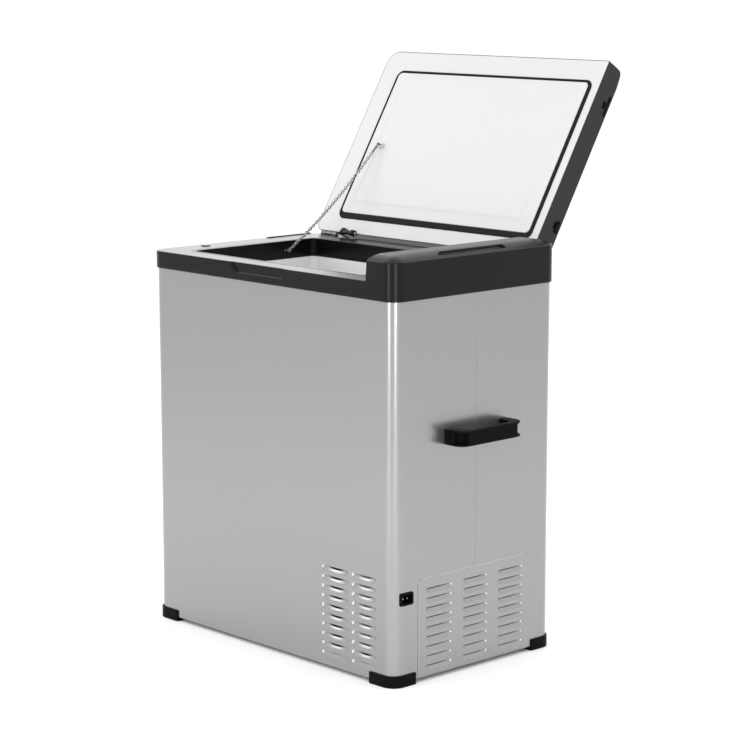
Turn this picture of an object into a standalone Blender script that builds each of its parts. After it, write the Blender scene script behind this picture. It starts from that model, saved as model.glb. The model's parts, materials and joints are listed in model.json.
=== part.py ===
"""Portable compressor cooler with a rear-hinged lid, a side control console and a vented machine bay.

Metres, +Z up, the user stands on the -Y side. The cabinet is modelled about its own centre line with the
floor at z = 0, and one empty then moves it so that the origin lies under the middle of the whole object,
with the lid standing open. Each piece is one closed solid; touching pieces keep a gap of GAP.
"""

import math

import bmesh
import bpy
from mathutils import Matrix, Vector

# Driving dimensions
BODY_WIDTH = 0.600
BODY_DEPTH = 0.3685
BODY_CORNER = 0.022
BODY_BOTTOM = 0.007
SHEET = 0.0012
SHELL_TOP = 0.630
GAP = 0.0003

FRAME_PROUD = 0.003
FRAME_CORNER = 0.0245
SKIRT_BOTTOM = 0.622
RIM_TOP = 0.6514
COLLAR_BOTTOM = 0.6194
COLLAR_WALL = 0.004
CONSOLE_LEFT = 0.2385
CONSOLE_DRAFT = 0.003  # the console's left face leans away from the lid
CONSOLE_EDGE = 0.6837
CONSOLE_TOP = 0.6928
CROWN = 0.033  # how far in from its edges the console's top has risen to full height
SHELF = (0.2835, -0.070, 0.0735, 0.6868)  # control shelf: left wall, front end, rear end, height

OPENING = (-0.242, 0.188, -0.142, 0.135)  # x from, x to, y from, y to
OPENING_CORNER = 0.011
STEP_FLOOR = 0.250
DEEP_FLOOR = 0.0475
DEEP_RIGHT = 0.035
LINER_WALL = 0.0025
BAY_LEFT = 0.052
BAY_TOP = 0.218

LID_AXIS_Y = 0.1922
LID_AXIS_Z = 0.653
LID_ANGLE = math.radians(121.05)
LID_LEFT = -0.303
LID_RIGHT = 0.2335
LID_REACH = 0.3757  # hinge line to free edge
LID_REAR = 0.0052
LID_THICK = 0.042
LID_GAP = 0.0024  # pan above the rim
PAN_THICK = 0.0022
PLUG_DEPTH = 0.006

FOOT_HEIGHT = 0.0195
FOOT_LONG = 0.058
FOOT_SHORT = 0.053

VENT_HALF = 0.130
VENT_TOP = 0.172
VENT_CHAMFER = 0.005
LOUVRE_PITCH = 0.016
FRONT_LOUVRES = {"count": 10, "low": 0.0290, "columns": ((0.131, 0.194), (0.203, 0.260))}
SIDE_LOUVRES = {"count": 9, "low": 0.024, "columns": ((-0.112, -0.055), (-0.0275, 0.0275), (0.054, 0.111))}
LOUVRE_SLOT = 0.0035

HANDLE_HALF = 0.0725
HANDLE_HEIGHT = 0.0254
HANDLE_MIDDLE = 0.3963
HANDLE_REACH = 0.040
HANDLE_CORNER = 0.018
HANDLE_FOOT = 0.020
GRIP_THICK = 0.0115

HALF_X = BODY_WIDTH / 2
HALF_Y = BODY_DEPTH / 2
FRAME_X = HALF_X + FRAME_PROUD
FRAME_Y = HALF_Y + FRAME_PROUD
PAN_FACE = RIM_TOP + LID_GAP - 0.0004
LID_PROFILE = (  # distance from the hinge line, height above the pan's face
    (LID_REACH, 0.0025),
    (LID_REACH, 0.014),
    (0.3745, 0.034),
    (0.3710, 0.0372),
    (0.3640, 0.0392),
    (0.3500, 0.0414),
    (0.3400, LID_THICK),
    (0.0160, LID_THICK),
    (0.0090, 0.0402),
    (LID_REAR, 0.0350),
    (LID_REAR, 0.0025),
)

SILVER = ("silver_steel", (0.36, 0.37, 0.38), 0.35, 0.6)
BLACK = ("black_plastic", (0.02, 0.02, 0.022), 0.45, 0.0)
LID_GREY = ("lid_plastic", (0.035, 0.037, 0.04), 0.4, 0.0)
WHITE = ("white_plastic", (0.85, 0.86, 0.87), 0.35, 0.0)
PALE = ("liner_plastic", (0.70, 0.72, 0.74), 0.4, 0.0)
RUBBER = ("black_rubber", (0.015, 0.015, 0.015), 0.7, 0.0)
BRIGHT = ("plated_steel", (0.55, 0.56, 0.58), 0.25, 1.0)
ALUMINIUM = ("aluminium", (0.60, 0.61, 0.63), 0.35, 1.0)
COPPER = ("copper", (0.64, 0.30, 0.18), 0.3, 1.0)
FOAM = ("foam", (0.72, 0.66, 0.45), 0.9, 0.0)
GLASS = ("dark_glass", (0.03, 0.04, 0.05), 0.08, 0.0)
BOARD = ("circuit_board", (0.03, 0.16, 0.07), 0.5, 0.0)

for old in list(bpy.data.objects):
    bpy.data.objects.remove(old, do_unlink=True)

parts = bpy.data.collections.new("compressor_cooler")
cutters = bpy.data.collections.new("cutters")
bpy.context.scene.collection.children.link(parts)
bpy.context.scene.collection.children.link(cutters)


def empty(name, location=(0, 0, 0), parent=None):
    """An empty that carries a group of pieces."""
    holder = bpy.data.objects.new(name, None)
    holder.location = location
    holder.parent = parent
    parts.objects.link(holder)
    return holder


cabinet = empty("cabinet_origin")
lid_pivot = empty("lid_pivot", (0, LID_AXIS_Y, LID_AXIS_Z), cabinet)
LID_SHIFT = Matrix.Translation((0, -LID_AXIS_Y, -LID_AXIS_Z))


def material(look):
    """The Principled material of that look, made once."""
    name, colour, roughness, metallic = look
    found = bpy.data.materials.get(name)
    if found:
        return found
    made = bpy.data.materials.new(name)
    made.use_nodes = True
    made.diffuse_color = (*colour, 1)
    shader = made.node_tree.nodes["Principled BSDF"]
    shader.inputs["Base Color"].default_value = (*colour, 1)
    shader.inputs["Roughness"].default_value = roughness
    shader.inputs["Metallic"].default_value = metallic
    return made


def place(solid, look, holder):
    """Puts a solid under its holder and in the collection of parts, or of cutters where it has no look."""
    for home in list(solid.users_collection):
        home.objects.unlink(solid)
    solid.parent = holder
    if holder is lid_pivot:
        solid.matrix_parent_inverse = LID_SHIFT
    if look is None:
        cutters.objects.link(solid)
        solid.hide_render = True
        solid.display_type = "WIRE"
        return solid
    parts.objects.link(solid)
    solid.data.materials.append(material(look))
    solid.data.shade_smooth()
    solid.data.set_sharp_from_angle(angle=math.radians(30))
    return solid


def arc(centre, radius, start, end, steps):
    """Points along a circular arc, angles in degrees."""
    angles = [math.radians(start + (end - start) * i / steps) for i in range(steps + 1)]
    return [(centre[0] + radius * math.cos(a), centre[1] + radius * math.sin(a)) for a in angles]


def rounded(x0, x1, y0, y1, radius, steps=5):
    """A rounded rectangle; radius is one value, or four from the lower right corner counter-clockwise."""
    radii = radius if isinstance(radius, tuple) else (radius,) * 4
    corners = ((x1, y0, -1, 1, -90), (x1, y1, -1, -1, 0), (x0, y1, 1, -1, 90), (x0, y0, 1, 1, 180))
    points = []
    for (x, y, toward_x, toward_y, start), r in zip(corners, radii):
        if r > 0:
            points += arc((x + toward_x * r, y + toward_y * r), r, start, start + 90, steps)
        else:
            points.append((x, y))
    return points


def grown(box, amount):
    """A (x0, x1, y0, y1) rectangle with each side moved out."""
    return (box[0] - amount, box[1] + amount, box[2] - amount, box[3] + amount)


def prism(name, loops, low, high, look=None, holder=cabinet, axis="Z"):
    """Outlines extruded along an axis: (x, y) for Z, (y, z) for X and (x, z) for Y. Inner loops are holes."""
    curve = bpy.data.curves.new(name + "_outline", "CURVE")
    curve.dimensions = "2D"
    curve.fill_mode = "BOTH"
    curve.extrude = (high - low) / 2
    for loop in loops:
        spline = curve.splines.new("POLY")
        spline.points.add(len(loop) - 1)
        for point, (u, v) in zip(spline.points, loop):
            point.co = (u, v, 0, 1)
        spline.use_cyclic_u = True
    outline = bpy.data.objects.new(name + "_outline", curve)
    middle = (low + high) / 2
    if axis == "X":
        outline.location = (middle, 0, 0)
        outline.rotation_euler = (math.pi / 2, 0, math.pi / 2)
    elif axis == "Y":
        outline.location = (0, middle, 0)
        outline.rotation_euler = (math.pi / 2, 0, 0)
    else:
        outline.location = (0, 0, middle)
    bpy.context.scene.collection.objects.link(outline)
    bpy.context.view_layer.update()
    evaluated = outline.evaluated_get(bpy.context.evaluated_depsgraph_get())
    mesh = bpy.data.meshes.new_from_object(evaluated)
    weld(mesh)
    solid = bpy.data.objects.new(name, mesh)
    solid.matrix_world = outline.matrix_world
    bpy.data.objects.remove(outline)
    return place(solid, look, holder)


def weld(mesh):
    """Joins the caps of a converted curve to its sides and turns every face outward."""
    shape = bmesh.new()
    shape.from_mesh(mesh)
    bmesh.ops.remove_doubles(shape, verts=shape.verts, dist=1e-7)
    bmesh.ops.recalc_face_normals(shape, faces=shape.faces)
    shape.to_mesh(mesh)
    shape.free()


def block(name, x, y, z, look=None, holder=cabinet):
    """A box between two values on each axis, with its origin at its middle."""
    mesh = bpy.data.meshes.new(name)
    shape = bmesh.new()
    size = Vector((x[1] - x[0], y[1] - y[0], z[1] - z[0]))
    bmesh.ops.create_cube(shape, size=1, matrix=Matrix.Diagonal((*size, 1)))
    shape.to_mesh(mesh)
    shape.free()
    solid = bpy.data.objects.new(name, mesh)
    solid.location = (sum(x) / 2, sum(y) / 2, sum(z) / 2)
    return place(solid, look, holder)


def rod(name, centre, radius, length, look=None, holder=cabinet, axis="Z", sides=20):
    """A cylinder along an axis, with its origin at its middle."""
    mesh = bpy.data.meshes.new(name)
    shape = bmesh.new()
    bmesh.ops.create_cone(
        shape, cap_ends=True, segments=sides, radius1=radius, radius2=radius, depth=length
    )
    shape.to_mesh(mesh)
    shape.free()
    solid = bpy.data.objects.new(name, mesh)
    solid.location = centre
    turns = {"X": (0, math.pi / 2, 0), "Y": (math.pi / 2, 0, 0), "Z": (0, 0, 0)}
    solid.rotation_euler = turns[axis]
    return place(solid, look, holder)


def combine(solid, other, operation="DIFFERENCE"):
    """A live Boolean of solid with other, which needs no look of its own."""
    modifier = solid.modifiers.new(operation.lower() + "_" + other.name, "BOOLEAN")
    modifier.operation = operation
    modifier.solver = "EXACT"
    modifier.object = other
    return solid


def turned(name, profile, location, look, steps=24):
    """A profile of (radius, height) points, top to bottom, turned about a vertical axis."""
    mesh = bpy.data.meshes.new(name)
    shape = bmesh.new()
    points = [shape.verts.new((r, 0, z)) for r, z in profile]
    for upper, lower in zip(points, points[1:]):
        shape.edges.new((upper, lower))
    shape.to_mesh(mesh)
    shape.free()
    solid = bpy.data.objects.new(name, mesh)
    solid.location = location
    place(solid, look, cabinet)
    screw = solid.modifiers.new("turn", "SCREW")
    screw.steps = steps
    screw.render_steps = steps
    screw.use_merge_vertices = True
    screw.merge_threshold = 1e-5
    return solid


def tube(name, points, radius, look, holder=cabinet, sides=2):
    """A round tube along points, with closed ends."""
    curve = bpy.data.curves.new(name, "CURVE")
    curve.dimensions = "3D"
    curve.bevel_depth = radius
    curve.bevel_resolution = sides
    curve.use_fill_caps = True
    spline = curve.splines.new("POLY")
    spline.points.add(len(points) - 1)
    for point, place_at in zip(spline.points, points):
        point.co = (*place_at, 1)
    solid = bpy.data.objects.new(name, curve)
    solid.parent = holder
    parts.objects.link(solid)
    curve.materials.append(material(look))
    return solid


def bezier(points, steps):
    """Points along a cubic curve through four control points."""
    a, b, c, d = (Vector(p) for p in points)
    curve = []
    for i in range(steps + 1):
        t = i / steps
        curve.append(a * (1 - t) ** 3 + b * 3 * t * (1 - t) ** 2 + c * 3 * t * t * (1 - t) + d * t**3)
    return curve


# Steel body: two bent sheets that meet on the middle of each side, and the base
def slots(columns, count, low, pitch, height):
    """Round-ended slots in columns, lowest row first."""
    loops = []
    for start, end in columns:
        for row in range(count):
            z = low + row * pitch
            loops.append(rounded(start, end, z - height / 2, z + height / 2, height / 2, 2))
    return loops


body_outline = rounded(-HALF_X, HALF_X, -HALF_Y, HALF_Y, BODY_CORNER)
inner_outline = rounded(
    -HALF_X + SHEET, HALF_X - SHEET, -HALF_Y + SHEET, HALF_Y - SHEET, BODY_CORNER - SHEET
)
front_half = block("front_half", (-0.4, 0.4), (-0.3, -0.0002), (-0.1, 0.8))
rear_half = block("rear_half", (-0.4, 0.4), (0.0002, 0.3), (-0.1, 0.8))
vent_hole = block("vent_hole", (0.290, 0.310), (-0.118, 0.118), (0.015, 0.158))

front_shell = prism("front_shell", (body_outline, inner_outline), BODY_BOTTOM, SHELL_TOP, SILVER)
combine(front_shell, front_half, "INTERSECT")
front_slots = prism(
    "front_slots",
    slots(pitch=LOUVRE_PITCH, height=LOUVRE_SLOT, **FRONT_LOUVRES),
    -HALF_Y - 0.01,
    -HALF_Y + 0.01,
    axis="Y",
)
combine(front_shell, front_slots)
combine(front_shell, vent_hole)

INLET_Y = (-0.170, -0.141)
INLET_Z = (0.134, 0.155)
inlet_hole = prism(
    "inlet_hole",
    (rounded(INLET_Y[0] + 0.0012, INLET_Y[1] - 0.0012, INLET_Z[0] + 0.0012, INLET_Z[1] - 0.0012, 0.002, 3),),
    0.290,
    0.310,
    axis="X",
)
combine(front_shell, inlet_hole)

rear_shell = prism("rear_shell", (body_outline, inner_outline), BODY_BOTTOM, SHELL_TOP, SILVER)
combine(rear_shell, rear_half, "INTERSECT")
combine(rear_shell, vent_hole)

inset = SHEET + GAP
base_outline = rounded(
    -HALF_X + inset, HALF_X - inset, -HALF_Y + inset, HALF_Y - inset, BODY_CORNER - inset
)
prism("base_plate", (base_outline,), BODY_BOTTOM, BODY_BOTTOM + 0.002, SILVER)

vent_outline = [
    (-VENT_HALF, BODY_BOTTOM + 0.0005),
    (VENT_HALF, BODY_BOTTOM + 0.0005),
    (VENT_HALF, VENT_TOP - VENT_CHAMFER),
    (VENT_HALF - VENT_CHAMFER, VENT_TOP),
    (-VENT_HALF + VENT_CHAMFER, VENT_TOP),
    (-VENT_HALF, VENT_TOP - VENT_CHAMFER),
]
side_slots = slots(pitch=LOUVRE_PITCH, height=LOUVRE_SLOT, **SIDE_LOUVRES)
prism("vent_panel", [vent_outline, *side_slots], HALF_X + GAP, HALF_X + GAP + SHEET, SILVER, axis="X")

# Corner feet wrap the body's corners and stand a little proud of them
body_clearance = prism(
    "body_clearance",
    (rounded(-HALF_X - GAP, HALF_X + GAP, -HALF_Y - GAP, HALF_Y + GAP, BODY_CORNER + GAP),),
    BODY_BOTTOM - GAP,
    0.1,
)
for end, front in (("front", -1), ("rear", 1)):
    for side, right in (("left", -1), ("right", 1)):
        xs = sorted((right * FRAME_X, right * (FRAME_X - FOOT_LONG)))
        ys = sorted((front * FRAME_Y, front * (FRAME_Y - FOOT_SHORT)))
        radii = [0.003] * 4
        radii[{(-1, 1): 0, (1, 1): 1, (1, -1): 2, (-1, -1): 3}[(front, right)]] = FRAME_CORNER
        foot = prism(
            f"foot_{end}_{side}", (rounded(*xs, *ys, tuple(radii), 4),), 0, FOOT_HEIGHT, BLACK
        )
        combine(foot, body_clearance)

# Top frame: skirt, rim, collar and the raised console in one moulding
frame = prism(
    "top_frame",
    (rounded(-FRAME_X, FRAME_X, -FRAME_Y, FRAME_Y, FRAME_CORNER),),
    COLLAR_BOTTOM,
    CONSOLE_TOP,
    BLACK,
)


def shoulder(edge, inward, steps=6):
    """The crown's arc in section, from just outside an edge to where the top is level."""
    rise = CONSOLE_TOP - CONSOLE_EDGE
    radius = (CROWN**2 + rise**2) / (2 * rise)
    points = []
    for i in range(steps + 1):
        run = CROWN - (CROWN + 0.001) * (1 - i / steps)
        drop = radius - math.sqrt(radius**2 - (CROWN - run) ** 2)
        points.append((edge + inward * run, CONSOLE_TOP - drop))
    return points


side_arc = shoulder(FRAME_X, -1)
side_profile = [(-0.4, 0.6), (side_arc[0][0], 0.6), *side_arc, (-0.4, CONSOLE_TOP)]
combine(frame, prism("console_section", (side_profile,), -0.3, 0.3, axis="Y"), "INTERSECT")
front_arc = shoulder(-FRAME_Y, 1)
rear_arc = shoulder(FRAME_Y, -1)
long_profile = [(front_arc[0][0], 0.6), (rear_arc[0][0], 0.6), *rear_arc, *reversed(front_arc)]
combine(frame, prism("console_length", (long_profile,), -0.4, 0.4, axis="X"), "INTERSECT")

collar = grown(OPENING, COLLAR_WALL)
clear_x, clear_y = HALF_X + GAP, HALF_Y + GAP
lean = CONSOLE_DRAFT * (0.8 - RIM_TOP) / (CONSOLE_TOP - RIM_TOP)
above_rim = [(-0.4, RIM_TOP), (CONSOLE_LEFT, RIM_TOP), (CONSOLE_LEFT + lean, 0.8), (-0.4, 0.8)]
combine(frame, prism("above_rim", (above_rim,), -0.3, 0.3, axis="Y"))
combine(frame, prism("frame_opening", (rounded(*OPENING, OPENING_CORNER),), 0.5, 0.8))
combine(
    frame,
    prism(
        "under_rim",
        (
            rounded(-clear_x, clear_x, -clear_y, clear_y, BODY_CORNER + GAP),
            rounded(*collar, OPENING_CORNER + COLLAR_WALL),
        ),
        0.6,
        SHELL_TOP + GAP,
    ),
)
combine(
    frame,
    prism(
        "under_skirt",
        (rounded(-0.4, 0.4, -0.3, 0.3, 0), rounded(-0.290, 0.290, -0.175, 0.175, 0.01)),
        0.6,
        SKIRT_BOTTOM,
    ),
)
combine(frame, block("console_cavity", (0.246, 0.297), (-0.178, 0.178), (0.6, 0.678)))
shelf_left, shelf_front, shelf_rear, shelf_z = SHELF
shelf = [
    (shelf_left, shelf_front),
    (shelf_left + 0.02, shelf_front - 0.025),
    (shelf_left + 0.02, shelf_rear - 0.004),
    (shelf_left, shelf_rear),
]
combine(frame, prism("control_shelf", (shelf,), shelf_z, 0.8))
PANEL_X = (shelf_left + 0.001, shelf_left + 0.0112)
PANEL_Y = (shelf_front - 0.001, shelf_rear - 0.005)
combine(frame, block("panel_recess", PANEL_X, PANEL_Y, (shelf_z - 0.002, 0.8)))
through = ((PANEL_X[0] + 0.0012, PANEL_X[1] - 0.0012), (PANEL_Y[0] + 0.003, PANEL_Y[1] - 0.003))
combine(frame, block("panel_through", *through, (0.66, 0.8)))
scoop = [(-0.073, 0.635), (0.041, 0.635), (0.043, 0.66), (-0.097, 0.66)]
combine(frame, prism("finger_scoop", (scoop,), -0.2, -FRAME_Y + 0.009, axis="Y"))
LUG_X = -0.208
combine(frame, block("lug_notch", (LUG_X - 0.026, LUG_X + 0.026), (0.173, 0.2), (0.635, 0.7)))

block("lid_rest_pad", (-0.289, -0.277), (-0.088, -0.075), (RIM_TOP + GAP, RIM_TOP + 0.0015), RUBBER)
block("rim_riser", (-0.3025, -0.2965), (0.075, 0.178), (RIM_TOP + GAP, RIM_TOP + 0.0015), BLACK)

# Liner: a deep left part and a raised step over the machine bay
inner = grown(OPENING, 0.0005)
outer = grown(inner, LINER_WALL)
deep = (inner[0], DEEP_RIGHT, inner[2], inner[3])
liner_top = COLLAR_BOTTOM - GAP
liner = prism("liner", (rounded(*outer, 0.0145),), DEEP_FLOOR - LINER_WALL, liner_top, PALE)
step_void = block("step_void", (DEEP_RIGHT + LINER_WALL, 0.3), (-0.2, 0.2), (0, STEP_FLOOR - LINER_WALL))
combine(liner, step_void)
combine(liner, prism("liner_upper", (rounded(*inner, 0.012),), STEP_FLOOR, 0.7))
combine(liner, prism("liner_deep", (rounded(*deep, 0.012),), DEEP_FLOOR, STEP_FLOOR + 0.05))

foam_clear = 0.0043
hollow = grown(outer, foam_clear)
hollow_deep = grown(deep, LINER_WALL + foam_clear)
foam = prism("insulation", (base_outline,), BODY_BOTTOM + 0.002 + GAP, SHELL_TOP, FOAM)
hollow_upper = prism("hollow_upper", (rounded(*hollow, 0.0188),), STEP_FLOOR - LINER_WALL - foam_clear, 0.8)
combine(foam, hollow_upper)
deep_outline = rounded(*hollow_deep, (0.004, 0.004, 0.0188, 0.0188))
hollow_lower = prism("hollow_lower", (deep_outline,), DEEP_FLOOR - LINER_WALL - foam_clear, STEP_FLOOR)
combine(foam, hollow_lower)
combine(foam, block("machine_bay", (BAY_LEFT, 0.4), (-0.3, 0.3), (-0.1, BAY_TOP)))

wall = 0.001
bulkhead_outline = [
    (BAY_LEFT + GAP, 0.0096),
    (BAY_LEFT + GAP + wall, 0.0096),
    (BAY_LEFT + GAP + wall, BAY_TOP - GAP - wall),
    (0.297, BAY_TOP - GAP - wall),
    (0.297, BAY_TOP - GAP),
    (BAY_LEFT + GAP, BAY_TOP - GAP),
]
prism("bay_bulkhead", (bulkhead_outline,), -0.167, 0.167, ALUMINIUM, axis="Y")

evaporator = prism(
    "evaporator_wrap",
    (rounded(*grown(outer, 0.0020), 0.0165), rounded(*grown(outer, 0.0006), 0.0151)),
    0.300,
    0.580,
    ALUMINIUM,
)
combine(evaporator, block("evaporator_split", (-0.05, -0.02), (-0.2, -0.1), (0.2, 0.7)))

block("interior_light", (0.1855, 0.1882), (-0.022, 0.022), (0.588, 0.603), WHITE)

# Machine bay: compressor, condenser and fan
COMPRESSOR = (0.125, 0.095)
dome = (
    (0, 0.150),
    (0.028, 0.148),
    (0.048, 0.138),
    (0.058, 0.118),
    (0.058, 0.050),
    (0.050, 0.030),
    (0, 0.0230),
)
turned("compressor", dome, (*COMPRESSOR, 0), BLACK)
cx, cy = COMPRESSOR
pedestal_outline = rounded(cx - 0.06, cx + 0.06, cy - 0.05, cy + 0.05, 0.012, 3)
pedestal = prism("compressor_base", (pedestal_outline,), 0.0096, 0.0135, BRIGHT)
combine(pedestal, rod("pedestal_boss", (cx, cy, 0.0165), 0.022, 0.011), "UNION")


def comb(start, length, root, depth, teeth, width):
    """A finned outline: a root plate with teeth along it, the end teeth flush with its ends."""
    pitch = (length - width) / (teeth - 1)
    points = [(start, root - 0.004), (start + length, root - 0.004)]
    for i in reversed(range(teeth)):
        left = start + i * pitch
        points += [(left + width, root), (left + width, root + depth), (left, root + depth), (left, root)]
    return points[:2] + points[3:-1]


prism("condenser", (comb(0.080, 0.170, -0.150, 0.020, 15, 0.004),), 0.020, 0.170, ALUMINIUM)
prism("power_module", (comb(0.232, 0.050, 0.080, 0.050, 6, 0.003),), 0.020, 0.120, ALUMINIUM)

FAN = (0.165, -0.098, 0.095)
FAN_RADIUS = 0.052
shroud_outline = rounded(FAN[0] - 0.06, FAN[0] + 0.06, FAN[2] - 0.06, FAN[2] + 0.06, 0.006, 3)
shroud_hole = arc((FAN[0], FAN[2]), FAN_RADIUS + 0.002, 0, 345, 23)
prism("fan_shroud", (shroud_outline, shroud_hole), FAN[1] - 0.012, FAN[1] + 0.013, BLACK, axis="Y")
carrier = rod("fan_carrier", (FAN[0], FAN[1] - 0.008, FAN[2]), 0.016, 0.006, BLACK, axis="Y", sides=16)
arm = FAN_RADIUS + 0.0015
cross_x = (FAN[0] - arm, FAN[0] + arm)
cross_z = (FAN[2] - arm, FAN[2] + arm)
cross_y = (FAN[1] - 0.010, FAN[1] - 0.007)
combine(carrier, block("carrier_bar", cross_x, cross_y, (FAN[2] - 0.003, FAN[2] + 0.003)), "UNION")
combine(carrier, block("carrier_post", (FAN[0] - 0.003, FAN[0] + 0.003), cross_y, cross_z), "UNION")

BLADES = 7
fan_centre = (FAN[0], FAN[1] + 0.003, FAN[2])
rotor = rod("fan_rotor", fan_centre, 0.018, 0.014, BLACK, axis="Y", sides=21)
blades = bpy.data.meshes.new("fan_blades")
shape = bmesh.new()
pitched = Matrix.Rotation(math.radians(32), 4, "X") @ Matrix.Diagonal((0.034, 0.018, 0.0014, 1))
for i in range(BLADES):
    radial = Matrix.Rotation(math.tau * i / BLADES, 4, "Z") @ Matrix.Translation((0.033, 0, 0))
    bmesh.ops.create_cube(shape, size=1, matrix=radial @ pitched)
shape.to_mesh(blades)
shape.free()
blade_set = bpy.data.objects.new("fan_blades", blades)
blade_set.location = fan_centre
blade_set.rotation_euler = (math.pi / 2, 0, 0)
combine(rotor, place(blade_set, None, cabinet), "UNION")

drier = ((0, 0.120), (0.0035, 0.119), (0.009, 0.110), (0.009, 0.062), (0.0035, 0.053), (0, 0.052))
turned("filter_drier", drier, (0.215, 0.020, 0), COPPER, 14)
discharge = (
    (0.125, 0.030, 0.110),
    (0.125, -0.010, 0.110),
    (0.105, -0.060, 0.180),
    (0.100, -0.120, 0.180),
)
tube("discharge_pipe", bezier(discharge, 14), 0.003, COPPER)
suction = (
    (0.185, 0.110, 0.110),
    (0.215, 0.115, 0.110),
    (0.212, 0.118, 0.150),
    (0.210, 0.120, 0.214),
)
tube("suction_pipe", bezier(suction, 12), 0.0035, COPPER)

# Console: board, bezel, display and four sprung buttons
block("control_board", (0.262, 0.295), (-0.070, 0.070), (0.668, 0.6696), BOARD)
window = (PANEL_X[0] + 0.0017, PANEL_X[1] - 0.0017, -0.010, 0.060)
BUTTON_X = sum(PANEL_X) / 2
BUTTON_Y = tuple(-0.062 + 0.0135 * i for i in range(4))
BUTTON_RADIUS = 0.0032
bezel_outline = rounded(
    PANEL_X[0] + GAP, PANEL_X[1] - GAP, PANEL_Y[0] + GAP, PANEL_Y[1] - GAP, 0.001, 2
)
holes = [arc((BUTTON_X, y), BUTTON_RADIUS + 0.0004, 0, 342, 19) for y in BUTTON_Y]
bezel_loops = [bezel_outline, rounded(*window, 0.001, 2), *holes]
prism("panel_bezel", bezel_loops, shelf_z - 0.002 + GAP, shelf_z - 0.0002, BLACK)
prism("display_lens", (rounded(*grown(window, -GAP), 0.0008, 2),), shelf_z - 0.002, shelf_z - 0.0004, GLASS)
for number, y in enumerate(BUTTON_Y, 1):
    rod(f"button_{number}", (BUTTON_X, y, shelf_z - 0.0022), BUTTON_RADIUS, 0.0056, BLACK)

# Power inlet on the right side, low at the front
inlet = prism(
    "power_inlet", (rounded(*INLET_Y, *INLET_Z, 0.003, 3),), 0.276, HALF_X + 0.0025, BLACK, axis="X"
)
body_y = (INLET_Y[0] + 0.0015, INLET_Y[1] - 0.0015)
body_z = (INLET_Z[0] + 0.0015, INLET_Z[1] - 0.0015)
behind = (rounded(-0.19, -0.12, 0.11, 0.18, 0), rounded(*body_y, *body_z, 0.0018, 3))
combine(inlet, prism("behind_bezel", behind, 0.27, HALF_X + GAP, axis="X"))
socket = rounded(INLET_Y[0] + 0.0038, INLET_Y[1] - 0.0038, INLET_Z[0] + 0.0038, INLET_Z[1] - 0.0038, 0.002, 3)
combine(inlet, prism("inlet_socket", (socket,), 0.284, 0.31, axis="X"))
for name, y in (("front", -0.1605), ("rear", -0.1505)):
    rod(f"inlet_pin_{name}", (0.2906, y, sum(INLET_Z) / 2), 0.0014, 0.0126, BRIGHT, axis="X", sides=12)

# Carrying handles: a thick bow with round corners, and a pocket open to the outside in each corner
def bow_side(y_half, reach, corner, steps):
    """The three free sides of a bow in plan, as (distance from the middle plane, y), front to rear."""
    outline = rounded(0, HALF_X + reach, -y_half, y_half, (corner, corner, 0, 0), steps)
    return [(HALF_X + GAP, -y_half), *outline[:-2], (HALF_X + GAP, y_half)]


bow = bow_side(HANDLE_HALF, HANDLE_REACH, HANDLE_CORNER, 7)
bow += reversed(bow_side(HANDLE_HALF - HANDLE_FOOT, HANDLE_REACH - GRIP_THICK, 0.010, 5))
POCKET = (  # distance from the wall and from the middle of the bow
    (0.0215, 0.0800),
    (0.0215, 0.0640),
    (0.0245, 0.0585),
    (0.0305, 0.0565),
    (0.0500, 0.0565),
    (0.0500, 0.0800),
)
FLANGE = 0.0035
handle_low = HANDLE_MIDDLE - HANDLE_HEIGHT / 2
handle_high = HANDLE_MIDDLE + HANDLE_HEIGHT / 2
for side, right in (("left", -1), ("right", 1)):
    outline = [(right * x, y) for x, y in bow]
    handle = prism(f"handle_{side}", (outline,), handle_low, handle_high, BLACK)
    for end, toward in (("front", -1), ("rear", 1)):
        pocket = [(right * (HALF_X + out), toward * y) for out, y in POCKET]
        cutter = prism(f"pocket_{side}_{end}", (pocket,), handle_low + FLANGE, handle_high - FLANGE)
        combine(handle, cutter)

# Lid, modelled closed and turned open by its pivot
lid_front = LID_AXIS_Y - LID_REACH
lid_back = LID_AXIS_Y - LID_REAR
plan = (LID_LEFT, LID_RIGHT, lid_front, lid_back)
plan_radii = (0.002, 0.002, 0.015, 0.025)
profile = [(LID_AXIS_Y - s, PAN_FACE + t) for s, t in LID_PROFILE]
lid = prism("lid_shell", (profile,), LID_LEFT, LID_RIGHT, LID_GREY, lid_pivot, "X")
lid_plan = prism("lid_plan", (rounded(*plan, plan_radii),), 0.6, 0.8, None, lid_pivot)
combine(lid, lid_plan, "INTERSECT")
inside = grown(plan, -0.0025)
inside_radii = (0.002, 0.002, 0.0125, 0.0225)
inside_plan = (rounded(*inside, inside_radii),)
cavity_low = block(
    "lid_cavity_front",
    (LID_LEFT - 0.01, LID_RIGHT + 0.01),
    (lid_front - 0.01, lid_front + 0.0125),
    (0.6, 0.8),
    None,
    lid_pivot,
)
cavity = prism("lid_cavity", inside_plan, 0.6, PAN_FACE + LID_THICK - 0.0025, None, lid_pivot)
lower_cavity = prism("lid_cavity_low", inside_plan, 0.6, PAN_FACE + 0.0335, None, lid_pivot)
combine(cavity, cavity_low)
combine(lid, cavity)
combine(lid, lower_cavity)

pan_plan = (rounded(*plan, plan_radii),)
pan = prism("lid_pan", pan_plan, PAN_FACE - PLUG_DEPTH, PAN_FACE + PAN_THICK, WHITE, lid_pivot)
plug = (OPENING[0] + 0.004, OPENING[1] - 0.004, OPENING[2] + 0.006, OPENING[3] - 0.006)
around_plug = prism(
    "around_plug", (rounded(-0.4, 0.4, -0.3, 0.3, 0), rounded(*plug, 0.012)), 0.6, PAN_FACE, None, lid_pivot
)
combine(pan, around_plug)

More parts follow.
